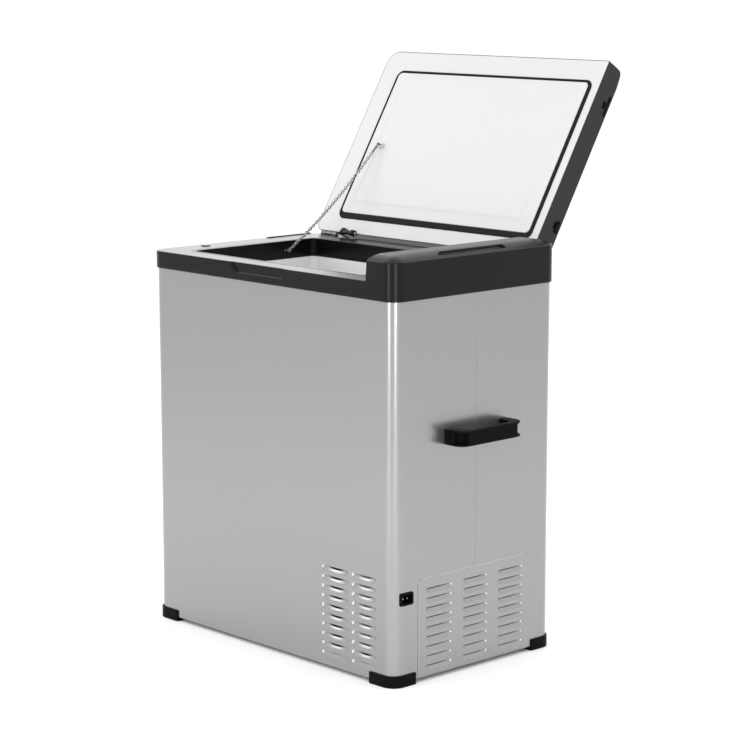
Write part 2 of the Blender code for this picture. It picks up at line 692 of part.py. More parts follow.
filling = grown(plan, -0.0025 - GAP)
lid_foam = prism(
    "lid_foam",
    (rounded(*filling, inside_radii),),
    PAN_FACE + PAN_THICK + GAP,
    PAN_FACE + 0.0332,
    FOAM,
    lid_pivot,
)

gasket = (-0.261, 0.214, LID_AXIS_Y - 0.337, LID_AXIS_Y - 0.041)
prism(
    "lid_gasket",
    (rounded(*grown(gasket, 0.0048), 0.0158), rounded(*grown(gasket, -0.0048), 0.0062)),
    RIM_TOP + GAP,
    PAN_FACE - GAP,
    RUBBER,
    lid_pivot,
)

# Butt hinges behind the rear face: two body knuckles, one lid knuckle, one pin
KNUCKLE = 0.0045
PIN = 0.0016
for side, x in (("left", -0.262), ("right", 0.163)):
    axis_point = (x, LID_AXIS_Y, LID_AXIS_Z)
    bore_body = rod(f"bore_body_{side}", axis_point, PIN + GAP, 0.06, axis="X", sides=12)
    bore_lid = rod(f"bore_lid_{side}", axis_point, PIN + GAP, 0.06, None, lid_pivot, "X", 12)
    leaf_y = (FRAME_Y + GAP, FRAME_Y + GAP + 0.002)
    leaf = block(f"hinge_leaf_body_{side}", (x - 0.020, x + 0.020), leaf_y, (0.625, 0.6475), BRIGHT)
    for end in (-1, 1):
        centre = x + end * 0.0142
        tag = f"{side}_{'outer' if end < 0 else 'inner'}"
        tab = block(f"tab_{tag}", (centre - 0.0058, centre + 0.0058), leaf_y, (0.640, LID_AXIS_Z))
        knuckle = rod(f"knuckle_{tag}", (centre, LID_AXIS_Y, LID_AXIS_Z), KNUCKLE, 0.0116, axis="X", sides=18)
        combine(leaf, tab, "UNION")
        combine(leaf, knuckle, "UNION")
    combine(leaf, bore_body)
    lid_y = (lid_back + GAP, lid_back + GAP + 0.002)
    flap = block(f"hinge_leaf_lid_{side}", (x - 0.020, x + 0.020), lid_y, (0.6585, 0.686), BRIGHT, lid_pivot)
    tab = block(f"lid_tab_{side}", (x - 0.0078, x + 0.0078), lid_y, (LID_AXIS_Z, 0.662), None, lid_pivot)
    knuckle = rod(f"lid_knuckle_{side}", axis_point, KNUCKLE, 0.0156, None, lid_pivot, "X", 18)
    combine(flap, tab, "UNION")
    combine(flap, knuckle, "UNION")
    combine(flap, bore_lid)
    rod(f"hinge_pin_{side}", axis_point, PIN, 0.044, BRIGHT, axis="X", sides=12)

# Rear lug: a short barrel on a web under the lid, which drops into the rim's notch
LUG_Y = LID_AXIS_Y - 0.006
LUG_Z = PAN_FACE - 0.0096
lug = rod("lid_lug", (LUG_X, LUG_Y, LUG_Z), 0.0057, 0.042, BLACK, lid_pivot, "X", 18)
web = block(
    "lug_web",
    (LUG_X - 0.021, LUG_X - 0.013),
    (LUG_Y - 0.004, LUG_Y + 0.0008),
    (LUG_Z, PAN_FACE - GAP),
    None,
    lid_pivot,
)
combine(lug, web, "UNION")

# Lid stay: a light chain from an eye on the collar's left wall to a hook on the lid's pan
EYE = (-0.2368, 0.0710, 0.6350)
HOOK_S, HOOK_OUT = 0.181, 0.0115
hook_y, hook_z = LID_AXIS_Y - HOOK_S, PAN_FACE - HOOK_OUT
HOOK_X = -0.222


def eye_tab(name, centre, root, look, holder, outward):
    """A round-nosed tab with a hole, in the X-Z plane; root is how far its foot is from the hole."""
    x, y, z = centre
    nose = arc((0, 0), 0.0036, -90, 90, 10) + [(-root, 0.0036), (-root, -0.0036)]
    hole = arc((0, 0), 0.0018, 0, 330, 11)
    out_x, out_z = outward
    loops = []
    for loop in (nose, hole):
        loops.append([(x + u * out_x - v * out_z, z + u * out_z + v * out_x) for u, v in loop])
    return prism(name, loops, y - 0.001, y + 0.001, look, holder, "Y")


eye = eye_tab("chain_eye", EYE, 0.0040, BRIGHT, cabinet, (1, 0))
eye_plate = block("eye_plate", (OPENING[0] + GAP, OPENING[0] + 0.0015), (0.063, 0.079), (0.630, 0.640))
combine(eye, eye_plate, "UNION")
hook = eye_tab("chain_hook", (HOOK_X, hook_y, hook_z), 0.0045, BRIGHT, lid_pivot, (0, -1))
hook_plate = block(
    "hook_plate",
    (HOOK_X - 0.007, HOOK_X + 0.007),
    (hook_y - 0.006, hook_y + 0.006),
    (PAN_FACE - PLUG_DEPTH - GAP - 0.0014, PAN_FACE - PLUG_DEPTH - GAP),
    None,
    lid_pivot,
)
combine(hook, hook_plate, "UNION")

turn_open = Matrix.Rotation(-LID_ANGLE, 4, "X")
hook_open = turn_open @ Vector((HOOK_X, hook_y - LID_AXIS_Y, hook_z - LID_AXIS_Z))
hook_open += Vector((0, LID_AXIS_Y, LID_AXIS_Z))
start, finish = Vector(EYE), hook_open
SAG = 0.006
LINKS = 28
direction = (finish - start).normalized()
start += direction * 0.0062
finish -= direction * 0.0062
chain = []
for i in range(LINKS + 1):
    t = i / LINKS
    drop = Vector((0, 0, -SAG * 4 * t * (1 - t)))
    chain.append(start.lerp(finish, t) + drop)
tube("lid_chain", chain, 0.0022, BRIGHT)

# Stand the lid open and move the origin under the middle of the whole object
lid_pivot.rotation_euler = (-LID_ANGLE, 0, 0)
reach = max(
    LID_AXIS_Y + s * -math.cos(LID_ANGLE) + (PAN_FACE + t - LID_AXIS_Z) * math.sin(LID_ANGLE)
    for s, t in LID_PROFILE
)
cabinet.location.y = -(reach - FRAME_Y) / 2
bpy.context.view_layer.update()
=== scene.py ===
"""The look of the compressor cooler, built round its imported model.

Metres, +Z up. Cabinet pieces are modelled about the cabinet's own centre line and moved back by CABINET. Lid
pieces are modelled in lid space: x, minus the distance from the hinge line, and the height above the lid's
inner face, positive towards the lid's outside. LID_SPACE turns them open.
"""

import json
import math
from dataclasses import dataclass

import bmesh
import bpy
from mathutils import Matrix, Vector
from mathutils.geometry import tessellate_polygon

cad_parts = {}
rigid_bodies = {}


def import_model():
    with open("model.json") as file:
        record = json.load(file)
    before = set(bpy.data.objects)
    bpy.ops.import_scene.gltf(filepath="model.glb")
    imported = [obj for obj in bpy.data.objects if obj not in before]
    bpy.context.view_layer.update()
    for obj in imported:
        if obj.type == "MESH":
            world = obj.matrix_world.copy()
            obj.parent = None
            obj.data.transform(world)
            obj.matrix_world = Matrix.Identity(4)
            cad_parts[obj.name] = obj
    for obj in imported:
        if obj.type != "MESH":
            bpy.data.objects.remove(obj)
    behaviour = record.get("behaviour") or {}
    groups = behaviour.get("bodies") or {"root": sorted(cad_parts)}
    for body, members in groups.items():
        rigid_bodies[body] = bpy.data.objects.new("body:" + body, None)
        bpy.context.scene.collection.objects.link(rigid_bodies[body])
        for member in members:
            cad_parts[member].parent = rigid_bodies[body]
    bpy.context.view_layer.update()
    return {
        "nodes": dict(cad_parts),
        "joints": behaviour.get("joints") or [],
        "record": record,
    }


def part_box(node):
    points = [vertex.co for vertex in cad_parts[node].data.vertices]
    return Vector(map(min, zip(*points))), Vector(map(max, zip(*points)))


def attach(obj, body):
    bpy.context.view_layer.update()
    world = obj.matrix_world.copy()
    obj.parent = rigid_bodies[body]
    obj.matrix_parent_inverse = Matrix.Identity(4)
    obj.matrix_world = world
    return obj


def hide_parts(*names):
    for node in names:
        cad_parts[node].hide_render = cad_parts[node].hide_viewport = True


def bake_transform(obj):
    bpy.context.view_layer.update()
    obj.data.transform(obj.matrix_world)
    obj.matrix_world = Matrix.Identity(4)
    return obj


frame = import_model()
HOME = bpy.context.scene.collection.objects

# Sizes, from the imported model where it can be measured
MM = 0.001
front_low, front_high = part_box("front_shell")
rear_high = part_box("rear_shell")[1]
frame_low, frame_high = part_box("top_frame")
liner_low, liner_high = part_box("liner")
vent_low, vent_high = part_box("vent_panel")
handle_low, handle_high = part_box("handle_right")
inlet_low, inlet_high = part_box("power_inlet")

CENTRE_Y = (front_low.y + rear_high.y) / 2
HALF_X = front_high.x
HALF_Y = (rear_high.y - front_low.y) / 2
BODY_CORNER = 22 * MM
BODY_BOTTOM = front_low.z
SHELL_TOP = front_high.z
SHEET = 1.2 * MM
GAP = 0.3 * MM

FRAME_X = frame_high.x
FRAME_Y = (frame_high.y - frame_low.y) / 2
FRAME_CORNER = 24.5 * MM
COLLAR_BOTTOM = frame_low.z
SKIRT_BOTTOM = 0.622
RIM_TOP = 0.6514
CONSOLE_LEFT = 0.2385
CONSOLE_DRAFT = 3 * MM
CONSOLE_EDGE = 0.6837
CONSOLE_TOP = frame_high.z
CROWN = 33 * MM
OVER = 0.8  # a height above the whole cabinet
SHELF = (0.2835, -0.070, 0.0735, 0.6868)  # left wall, front end, rear end, height
PANEL = (SHELF[0] + 0.001, SHELF[0] + 0.0112, SHELF[1] - 0.001, SHELF[2] - 0.005)
OPENING = (-0.242, 0.188, -0.142, 0.135)
OPENING_CORNER = 11 * MM
VENT_HALF = 0.118
VENT_SHOULDER = 0.156  # height above which the panel's corners are cut
INLET_FRONT, INLET_REAR = -0.1688, -0.1422
COLLAR_WALL = 4 * MM
STEP_FLOOR = 0.250
DEEP_RIGHT = 0.035
LINER_WALL = 2.5 * MM

hinge = next(j for j in frame["joints"] if j["name"] == "lid_hinge")
AXIS = Vector(hinge["pos_m"])
LID_ANGLE = math.radians(121.05)
PAN_FACE = RIM_TOP + 2 * MM
LID_LEFT, LID_RIGHT = -0.303, 0.2335
LID_REAR, LID_REACH = 0.0052, 0.3757
LID_THICK = 42 * MM
LID_WALL = 2.5 * MM
PAN_THICK = 2.2 * MM
PLUG_DEPTH = 6 * MM

CABINET = Matrix.Translation((0, CENTRE_Y, 0))
AXIS_Y = AXIS.y - CENTRE_Y
LID_SPACE = (
    Matrix.Translation(AXIS)
    @ Matrix.Rotation(-LID_ANGLE, 4, "X")
    @ Matrix.Translation((0, 0, PAN_FACE - AXIS.z))
)


# Outlines
def arc(centre, radius, start, end, steps):
    """Points along a circular arc, angles in degrees."""
    angles = [math.radians(start + (end - start) * i / steps) for i in range(steps + 1)]
    return [(centre[0] + radius * math.cos(a), centre[1] + radius * math.sin(a)) for a in angles]


def rounded(x0, x1, y0, y1, radius, steps=8):
    """A rounded rectangle; radius is one value, or four from the lower right corner counter-clockwise."""
    radii = radius if isinstance(radius, tuple) else (radius,) * 4
    corners = ((x1, y0, -1, 1, -90), (x1, y1, -1, -1, 0), (x0, y1, 1, -1, 90), (x0, y0, 1, 1, 180))
    points = []
    for (x, y, toward_x, toward_y, start), r in zip(corners, radii):
        if r > 0:
            points += arc((x + toward_x * r, y + toward_y * r), r, start, start + 90, steps)
        else:
            points.append((x, y))
    return points


def grown(box, amount):
    """A (x0, x1, y0, y1) rectangle with each side moved out."""
    return (box[0] - amount, box[1] + amount, box[2] - amount, box[3] + amount)


BODY_PLAN = rounded(-HALF_X - GAP, HALF_X + GAP, -HALF_Y - GAP, HALF_Y + GAP, BODY_CORNER + GAP, 10)


def smooth(t):
    """0 to 1 with level ends."""
    t = min(max(t, 0.0), 1.0)
    return t * t * (3 - 2 * t)


def spread(start, end, steps):
    """Evenly spaced values, ends included."""
    return [start + (end - start) * i / steps for i in range(steps + 1)]


# Meshes
def mesh_of(corners, faces, solid=True):
    """A mesh from corners and faces; a solid's faces are turned outward."""
    shape = bmesh.new()
    verts = [shape.verts.new(c) for c in corners]
    for face in faces:
        shape.faces.new([verts[i] for i in face])
    if solid:
        bmesh.ops.recalc_face_normals(shape, faces=shape.faces)
    mesh = bpy.data.meshes.new("mesh")
    shape.to_mesh(mesh)
    shape.free()
    return mesh


PLACE = {
    "X": lambda u, v, w: (w, u, v),
    "Y": lambda u, v, w: (u, w, v),
    "Z": lambda u, v, w: (u, v, w),
}


def prism(loops, low, high, axis="Z"):
    """Outlines extruded along an axis: (x, y) for Z, (y, z) for X and (x, z) for Y. Inner loops are holes."""
    flat = [p for loop in loops for p in loop]
    count = len(flat)
    corners = [PLACE[axis](u, v, w) for w in (low, high) for u, v in flat]
    caps = [tuple(range(count))]
    if len(loops) > 1:
        caps = tessellate_polygon([[Vector((u, v, 0)) for u, v in loop] for loop in loops])
    faces = [tuple(i + level for i in cap) for level in (0, count) for cap in caps]
    first = 0
    for loop in loops:
        for i in range(len(loop)):
            a, b = first + i, first + (i + 1) % len(loop)
            faces.append((a, b, b + count, a + count))
        first += len(loop)
    return mesh_of(corners, faces)


def block(x, y, z):
    """A box between two values on each axis."""
    return prism([[(x[0], y[0]), (x[1], y[0]), (x[1], y[1]), (x[0], y[1])]], *z)


def loft(rings, looped=False):
    """A skin through rings of equal length, capped at both ends or looped back to the first ring."""
    size, count = len(rings[0]), len(rings)
    faces = []
    for level in range(count if looped else count - 1):
        above = (level + 1) % count
        for i in range(size):
            j = (i + 1) % size
            faces.append((level * size + i, level * size + j, above * size + j, above * size + i))
    if not looped:
        faces += [tuple(range(size)), tuple(range((count - 1) * size, count * size))]
    return mesh_of([p for ring in rings for p in ring], faces)


def level(outline, height):
    """An outline at a height."""
    return [(x, y, height) for x, y in outline]


def turned(profile, centre, axis="Z", steps=32):
    """A profile of (radius, height) points turned about an axis through centre."""
    rings = []
    for radius, height in profile:
        ring = arc((0, 0), max(radius, 0.02 * MM), 0, 360 - 360 / steps, steps - 1)
        rings.append([Vector(centre) + Vector(PLACE[axis](u, v, height)) for u, v in ring])
    return loft(rings)


def rod(centre, radius, length, axis="X", edge=0.4 * MM, steps=24):
    """A round bar with softened ends."""
    half = length / 2
    profile = [(radius - edge, -half), (radius, -half + edge), (radius, half - edge), (radius - edge, half)]
    return turned(profile, centre, axis, steps)


def swept(points, radius, sides=8, looped=False):
    """A round tube along points."""
    points = [Vector(p) for p in points]
    count = len(points)
    rings, across_last = [], None
    for i, point in enumerate(points):
        before = points[i - 1] if looped or i else point
        after = points[(i + 1) % count] if looped or i < count - 1 else point
        along = (after - before).normalized()
        if across_last is None:
            across_last = along.orthogonal()
        across = (across_last - along * across_last.dot(along)).normalized()
        across_last = across
        up = along.cross(across)
        turns = [math.tau * k / sides for k in range(sides)]
        rings.append([point + (across * math.cos(a) + up * math.sin(a)) * radius for a in turns])
    return loft(rings, looped)


def joined(meshes):
    """Several meshes as one, left as separate shells."""
    shape = bmesh.new()
    for mesh in meshes:
        shape.from_mesh(mesh)
        bpy.data.meshes.remove(mesh)
    mesh = bpy.data.meshes.new("mesh")
    shape.to_mesh(mesh)
    shape.free()
    return mesh


def carved(mesh, *cutters, operation="DIFFERENCE"):
    """The mesh after a Boolean with each cutter in turn."""
    for cutter in cutters:
        solid = bpy.data.objects.new("solid", mesh)
        tool = bpy.data.objects.new("tool", cutter)
        HOME.link(solid)
        HOME.link(tool)
        boolean = solid.modifiers.new("carve", "BOOLEAN")
        boolean.operation = operation
        boolean.object = tool
        bpy.context.view_layer.update()
        result = solid.evaluated_get(bpy.context.evaluated_depsgraph_get())
        mesh = bpy.data.meshes.new_from_object(result)
        bpy.data.objects.remove(solid)
        bpy.data.objects.remove(tool)
    return mesh


def united(mesh, *others):
    """The mesh joined with others by Boolean union."""
    return carved(mesh, *others, operation="UNION")


# Materials
MOTTLE_SCALE = 9
COAT_ROUGHNESS = 0.16
# Painted highlight on convex edges: where it begins and where it is full, by how pointed an edge is, and its
# colour
HIGHLIGHT_BEGINS, HIGHLIGHT_FULL = 0.53, 0.62  # how pointed an edge is
EDGE_HIGHLIGHT_COLOUR = (0.25, 0.25, 0.26, 1)


def new_node(tree, kind, inputs, **settings):
    """A shader node with its settings, and its inputs as values or as the sockets that feed them."""
    made = tree.nodes.new(f"ShaderNode{kind}")
    for name, value in settings.items():
        setattr(made, name, value)
    fill(tree, made, inputs)
    return made


def fill(tree, node, inputs):
    """Sets a node's inputs to values, or links sockets to them."""
    for name, value in inputs.items():
        if isinstance(value, bpy.types.NodeSocket):
            tree.links.new(value, node.inputs[name])
        else:
            node.inputs[name].default_value = value


def shader(
    name, colour, roughness, metallic=0.0, specular=0.5, grain=900.0, relief=0.02 * MM, stretch=(1, 1, 1),
    mottle=0.06, gloss_change=0.06, edge_highlight=0.0, coat=0.0,
):
    """A Principled material whose colour, gloss and surface vary with fine grain and slow mottling."""
    made = bpy.data.materials.new(name)
    made.use_nodes = True
    tree = made.node_tree
    where = new_node(tree, "TexCoord", {}).outputs["Object"]
    stretched = new_node(tree, "Mapping", {"Vector": where, "Scale": stretch}).outputs["Vector"]
    fine = new_node(tree, "TexNoise", {"Vector": stretched, "Scale": grain, "Detail": 3}).outputs["Fac"]
    slow = new_node(tree, "TexNoise", {"Vector": where, "Scale": MOTTLE_SCALE, "Detail": 4}).outputs["Fac"]
    both = new_node(tree, "Math", {0: fine, 1: slow}, operation="ADD").outputs[0]

    def varied(middle, change):
        """The two noises as a factor about a middle value."""
        limits = {"From Max": 2, "To Min": middle - change, "To Max": middle + change}
        return new_node(tree, "MapRange", {"Value": both, **limits}).outputs["Result"]

    tint = {"Factor": 1, "A": (*colour, 1), "B": varied(1, mottle)}
    shade = new_node(tree, "Mix", tint, data_type="RGBA", blend_type="MULTIPLY").outputs["Result"]
    # painted highlight along convex edges
    if edge_highlight:
        shade = highlighted_edges(tree, shade, edge_highlight)
    bump = new_node(tree, "Bump", {"Distance": relief, "Height": fine})
    fill(tree, tree.nodes["Principled BSDF"], {
        "Base Color": shade,
        "Metallic": metallic,
        "Specular IOR Level": specular,
        "Coat Weight": coat,
        "Coat Roughness": COAT_ROUGHNESS,
        "Roughness": varied(roughness, gloss_change),
        "Normal": bump.outputs["Normal"],
    })
    return made


def highlighted_edges(tree, shade, amount):
    """Convex edges painted a little lighter: a painted highlight along them."""
    pointed = new_node(tree, "NewGeometry", {}).outputs["Pointiness"]
    limits = {"From Min": HIGHLIGHT_BEGINS, "From Max": HIGHLIGHT_FULL, "To Max": amount}
    edge = new_node(tree, "MapRange", {"Value": pointed, **limits}).outputs["Result"]
    lighter = new_node(tree, "Mix", {"Factor": edge, "A": shade, "B": EDGE_HIGHLIGHT_COLOUR}, data_type="RGBA")
    return lighter.outputs["Result"]


def first_of(tree, kind):
    """A tree's first node of a type."""
    return next(n for n in tree.nodes if n.type == kind)


def cells(material, scale, relief):
    """Swaps a material's fine grain for open cells."""
    tree = material.node_tree
    where = first_of(tree, "TEX_COORD").outputs["Object"]
    pores = new_node(tree, "TexVoronoi", {"Vector": where, "Scale": scale})
    fill(tree, first_of(tree, "BUMP"), {"Height": pores.outputs["Distance"], "Distance": relief})


def board(material):
    """Copper tracks in a lighter green on a circuit board."""
    tree = material.node_tree
    tracks = new_node(tree, "TexBrick", {
        "Vector": first_of(tree, "TEX_COORD").outputs["Object"],
        "Scale": 160,
        "Color1": (0.02, 0.13, 0.06, 1),
        "Color2": (0.025, 0.16, 0.07, 1),
        "Mortar": (0.08, 0.30, 0.14, 1),
        "Mortar Size": 0.06,
    })
    fill(tree, tree.nodes["Principled BSDF"], {"Base Color": tracks.outputs["Color"]})


FINISHES = {
    "silver_steel": dict(
        colour=(0.337, 0.336, 0.334), roughness=0.25, metallic=0.88, specular=0.4, grain=1500,
        relief=0.004 * MM, stretch=(0.03, 0.03, 1), mottle=0.025, gloss_change=0.05,
    ),
    "black_plastic": dict(
        colour=(0.0030, 0.0030, 0.0032), roughness=0.26, specular=0.16, grain=1400, relief=0.008 * MM,
        mottle=0.12, edge_highlight=0.03, coat=0.06,
    ),
    "lid_plastic": dict(
        colour=(0.022, 0.022, 0.023), roughness=0.42, specular=0.16, grain=1200, mottle=0.08, edge_highlight=0.04
    ),
    "white_plastic": dict(
        colour=(0.555, 0.555, 0.555), roughness=0.40, grain=300, relief=0.004 * MM, mottle=0.01
    ),
    "liner_plastic": dict(colour=(0.73, 0.735, 0.74), roughness=0.42, specular=0.45, grain=1100, mottle=0.02),
    "black_rubber": dict(colour=(0.006, 0.006, 0.006), roughness=0.6, specular=0.12, grain=1600, mottle=0.2),
    "foam": dict(colour=(0.72, 0.62, 0.38), roughness=0.9, specular=0.2, grain=400, relief=0.2 * MM),
    "aluminium": dict(
        colour=(0.62, 0.63, 0.65), roughness=0.34, metallic=1, grain=1500, relief=0.006 * MM,
        stretch=(1, 0.05, 1),
    ),
    "copper": dict(
        colour=(0.66, 0.30, 0.17), roughness=0.3, metallic=1, grain=800, relief=0.01 * MM, mottle=0.15
    ),
    "plated_steel": dict(
        colour=(0.36, 0.365, 0.37), roughness=0.24, metallic=1, grain=1200, relief=0.005 * MM, mottle=0.05
    ),
    "compressor_paint": dict(colour=(0.012, 0.012, 0.013), roughness=0.3, grain=500, relief=0.05 * MM),
    "display_glass": dict(
        colour=(0.012, 0.014, 0.017), roughness=0.08, grain=60, relief=0.001 * MM, mottle=0.05
    ),
    "circuit_board": dict(colour=(0.02, 0.13, 0.06), roughness=0.45, grain=900),
}
LOOKS = {slot: shader(f"{slot}_look", **finish) for slot, finish in FINISHES.items()}
cells(LOOKS["foam"], 500, 0.4 * MM)
board(LOOKS["circuit_board"])
# Variants of black_plastic and plated_steel
MATT_BLACK = shader(
    "matt_black_look", (0.0024, 0.0024, 0.0026), 0.38, specular=0.04, grain=1500, mottle=0.15, edge_highlight=0.03
)
DARK_STEEL = shader(
    "dark_steel_look", (0.15, 0.15, 0.155), 0.28, metallic=1, grain=1200, relief=0.005 * MM, mottle=0.08
)


def add(
    name, mesh, look, body="cabinet", stands_for=(), place=CABINET, edge=0.0, steps=2, angle=30, finish=None
):
    """Puts a mesh in the scene as a piece of that look on a CAD body.

    edge is the width of its rounded edges, which are those that bend by more than angle degrees. finish is a
    variant of the look's material. With no body, the piece still has to be blended.
    """
    if place is not None:
        mesh.transform(place)
    mesh.name = name
    piece = bpy.data.objects.new(name, mesh)
    HOME.link(piece)
    mesh.materials.clear()
    mesh.materials.append(finish or LOOKS[look])
    mesh.shade_smooth()
    mesh.set_sharp_from_angle(angle=math.radians(angle))
    if edge:
        bevel = piece.modifiers.new("rounded_edges", "BEVEL")
        bevel.width = edge
        bevel.segments = steps
        bevel.limit_method = "ANGLE"
        bevel.angle_limit = math.radians(angle)
        bevel.use_clamp_overlap = False
        bevel.miter_outer = "MITER_ARC"
        bevel.harden_normals = True
    if body:
        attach(piece, body)
    if stands_for:
        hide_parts(*([stands_for] if isinstance(stands_for, str) else stands_for))
    return piece


def settle_normals(piece):
    """Large flat faces keep their normals, so that small features don't shade them."""
    weighted = piece.modifiers.new("flat_faces_first", "WEIGHTED_NORMAL")
    weighted.keep_sharp = True


# Louvred sheet metal
LOUVRE = 9 * MM
LOUVRE_ROWS = (-0.6, 0, 1.2, 2.6, 4.2, 5.8, 7.4, 8.7, 9.0, 9.6)  # heights above a louvre's lower edge, in mm
LIP_ROW, EDGE_ROW = 7, 8
LOUVRE_PITCH = 16 * MM
LOUVRE_STOPS = (-0.6, 0, 0.35, 0.9, 1.7, 2.8, 4.2, 6.0)  # distances in from a louvre's end, in mm
LOUVRE_END = 7 * MM  # length of a louvre's round end
NARROW = 0.25  # how far the slits of the narrow rows open


@dataclass
class Louvres:
    """Columns of louvres pressed inward below straight slits, lowest row first.

    slit is the stretch of a louvre, as fractions of its length, where its lip droops by up to droop.
    """

    columns: tuple
    low: float
    count: int
    depth: float
    slit: tuple
    droop: float
    narrow_rows: tuple = ()

    def heights(self):
        """Grid rows as (height, louvre row, step in it)."""
        rows = []
        for row in range(self.count):
            for step, offset in enumerate(LOUVRE_ROWS):
                rows.append((self.low + row * LOUVRE_PITCH + offset * MM, row, step))
        return rows

    def stops(self):
        """Grid columns along the sheet."""
        found = []
        for start, end in self.columns:
            inner = [start + s * MM for s in LOUVRE_STOPS]
            found += inner + spread(inner[-1], end - LOUVRE_STOPS[-1] * MM, 6)[1:-1]
            found += [end - s * MM for s in reversed(LOUVRE_STOPS)]
        return found

    def across(self, along):
        """(fraction along a louvre, roundness of its end there), or None outside the columns."""
        for start, end in self.columns:
            if start <= along <= end:
                near = min(along - start, end - along)
                into = max(0.0, 1 - near / LOUVRE_END)
                return (along - start) / (end - start), math.sqrt(max(0.0, 1 - into * into))
        return None

    def opening(self, along):
        """How far the slit is open there, 0 to 1."""
        found = self.across(along)
        if not found:
            return 0.0
        start, end = self.slit
        t = (found[0] - start) / (end - start)
        return max(0.0, 1 - (2 * t - 1) ** 2) ** 0.6 * found[1] if 0 < t < 1 else 0.0

    def shape(self, along, row, step):
        """(depth, drop) of the sheet at a row's step."""
        found = self.across(along)
        if not found or step in (0, EDGE_ROW, EDGE_ROW + 1):
            return 0.0, 0.0
        roundness = found[1]
        height = LOUVRE_ROWS[step] * MM
        start = LOUVRE * (1 - roundness)
        rise = smooth(0.15 + 0.85 * (height - start) / (LOUVRE - start)) if height > start else 0.0
        if step == 1:
            rise = 0.0
        open_here = self.opening(along) * (NARROW if row in self.narrow_rows else 1.0)
        drop = self.droop * open_here * (LOUVRE_ROWS[step] / LOUVRE_ROWS[LIP_ROW]) ** 1.5
        return self.depth * rise * roundness, drop


def plain(heights):
    """Grid rows outside the louvres."""
    return [(z, None, None) for z in heights]


def pressed_sheet(path, rows, louvres=None, holes=(), hem=(), ends=()):
    """A sheet over a plan path of (x, y, outward x, outward y, distance along the louvred face or None).

    Rows are (height, louvre row or None, step). Holes are (low, high) corners of boxes whose faces go. Hem
    pairs heights with how far those rows stand in, and ends does so for columns.
    """
    hem, ends = dict(hem), dict(ends)
    corners, faces = [], []
    for z, row, step in rows:
        for column, (x, y, out_x, out_y, along) in enumerate(path):
            depth = drop = 0.0
            if louvres and row is not None and along is not None:
                depth, drop = louvres.shape(along, row, step)
            depth += hem.get(z, 0.0) + ends.get(column, 0.0)
            corners.append((x - out_x * depth, y - out_y * depth, z - drop))
    width = len(path)
    for r in range(len(rows) - 1):
        for c in range(width - 1):
            quad = (r * width + c, r * width + c + 1, (r + 1) * width + c + 1, (r + 1) * width + c)
            middle = sum((Vector(corners[i]) for i in quad), Vector()) / 4
            if any(all(low[k] < middle[k] < high[k] for k in range(3)) for low, high in holes):
                continue
            _, row, step = rows[r]
            if louvres and step == LIP_ROW:
                sides = [path[c][4], path[c + 1][4]]
                if None not in sides and min(louvres.opening(s) for s in sides) > 0.1:
                    continue
            faces.append(quad)
    return mesh_of(corners, faces, solid=False)


def plate(name, mesh, stands_for):
    """Sheet steel of one gauge, grown inward from its outer face."""
    piece = add(name, mesh, "silver_steel", stands_for=stands_for, angle=38)
    gauge = piece.modifiers.new("gauge", "SOLIDIFY")
    gauge.thickness = SHEET
    gauge.offset = -1
    settle_normals(piece)
    return piece


# The sheets' edges on the middle of each side: distances from the middle plane, and how far the rear sheet's
# edge stands in there; it is joggled out over the front one.
SEAM = (0.02 * MM, 0.25 * MM, 0.7 * MM, 1.4 * MM, 8 * MM, 14 * MM)
REAR_SEAM = (0.05 * MM, -0.2 * MM, -0.48 * MM, -0.6 * MM, -0.25 * MM, 0.0)
front_louvres = Louvres(
    columns=((0.131, 0.194), (0.203, 0.260)), low=22 * MM, count=10, depth=3.6 * MM,
    slit=(0.2, 0.88), droop=3.8 * MM, narrow_rows=(0,),
)
side_louvres = Louvres(
    columns=((-0.112, -0.055), (-0.0275, 0.0275), (0.054, 0.111)), low=17 * MM, count=9, depth=3.4 * MM,
    slit=(-0.08, 0.94), droop=1.7 * MM,
)


def corner_path(centre, start, extra=()):
    """A body corner's columns, quarter turn from start degrees."""
    angles = sorted([start + 90 * i / 14 for i in range(1, 14)] + list(extra))
    rows = []
    for angle in angles:
        out = (math.cos(math.radians(angle)), math.sin(math.radians(angle)))
        rows.append((centre[0] + BODY_CORNER * out[0], centre[1] + BODY_CORNER * out[1], *out, None))
    return rows


def shell_path(front):
    """The plan path of the front or rear sheet, counter-clockwise from seam to seam."""
    side = -1 if front else 1
    flat_x, flat_y = HALF_X - BODY_CORNER, HALF_Y - BODY_CORNER
    left = [(-HALF_X, side * s, -1, 0, None) for s in SEAM] + [(-HALF_X, side * flat_y, -1, 0, None)]
    right = [(HALF_X, side * s, 1, 0, None) for s in (*SEAM, VENT_HALF)]
    if front:
        right += [(HALF_X, INLET_REAR, 1, 0, None)]
    right += [(HALF_X, side * flat_y, 1, 0, None)]
    stops = spread(-flat_x, flat_x, 8)
    if front:
        stops = [-flat_x, *spread(-flat_x, 0.12, 6)[1:-1], *front_louvres.stops(), flat_x]
    middle = [(x, side * HALF_Y, 0, side, x if front else None) for x in stops]
    if front:
        inlet_angle = math.degrees(math.asin((-INLET_FRONT - flat_y) / BODY_CORNER))
        first = corner_path((-flat_x, -flat_y), 180)
        second = corner_path((flat_x, -flat_y), -90, (-inlet_angle,))
        return left + first + middle + second + right[::-1]
    first = corner_path((flat_x, flat_y), 0)
    second = corner_path((-flat_x, flat_y), 90)
    return right + first + middle[::-1] + second + left[::-1]


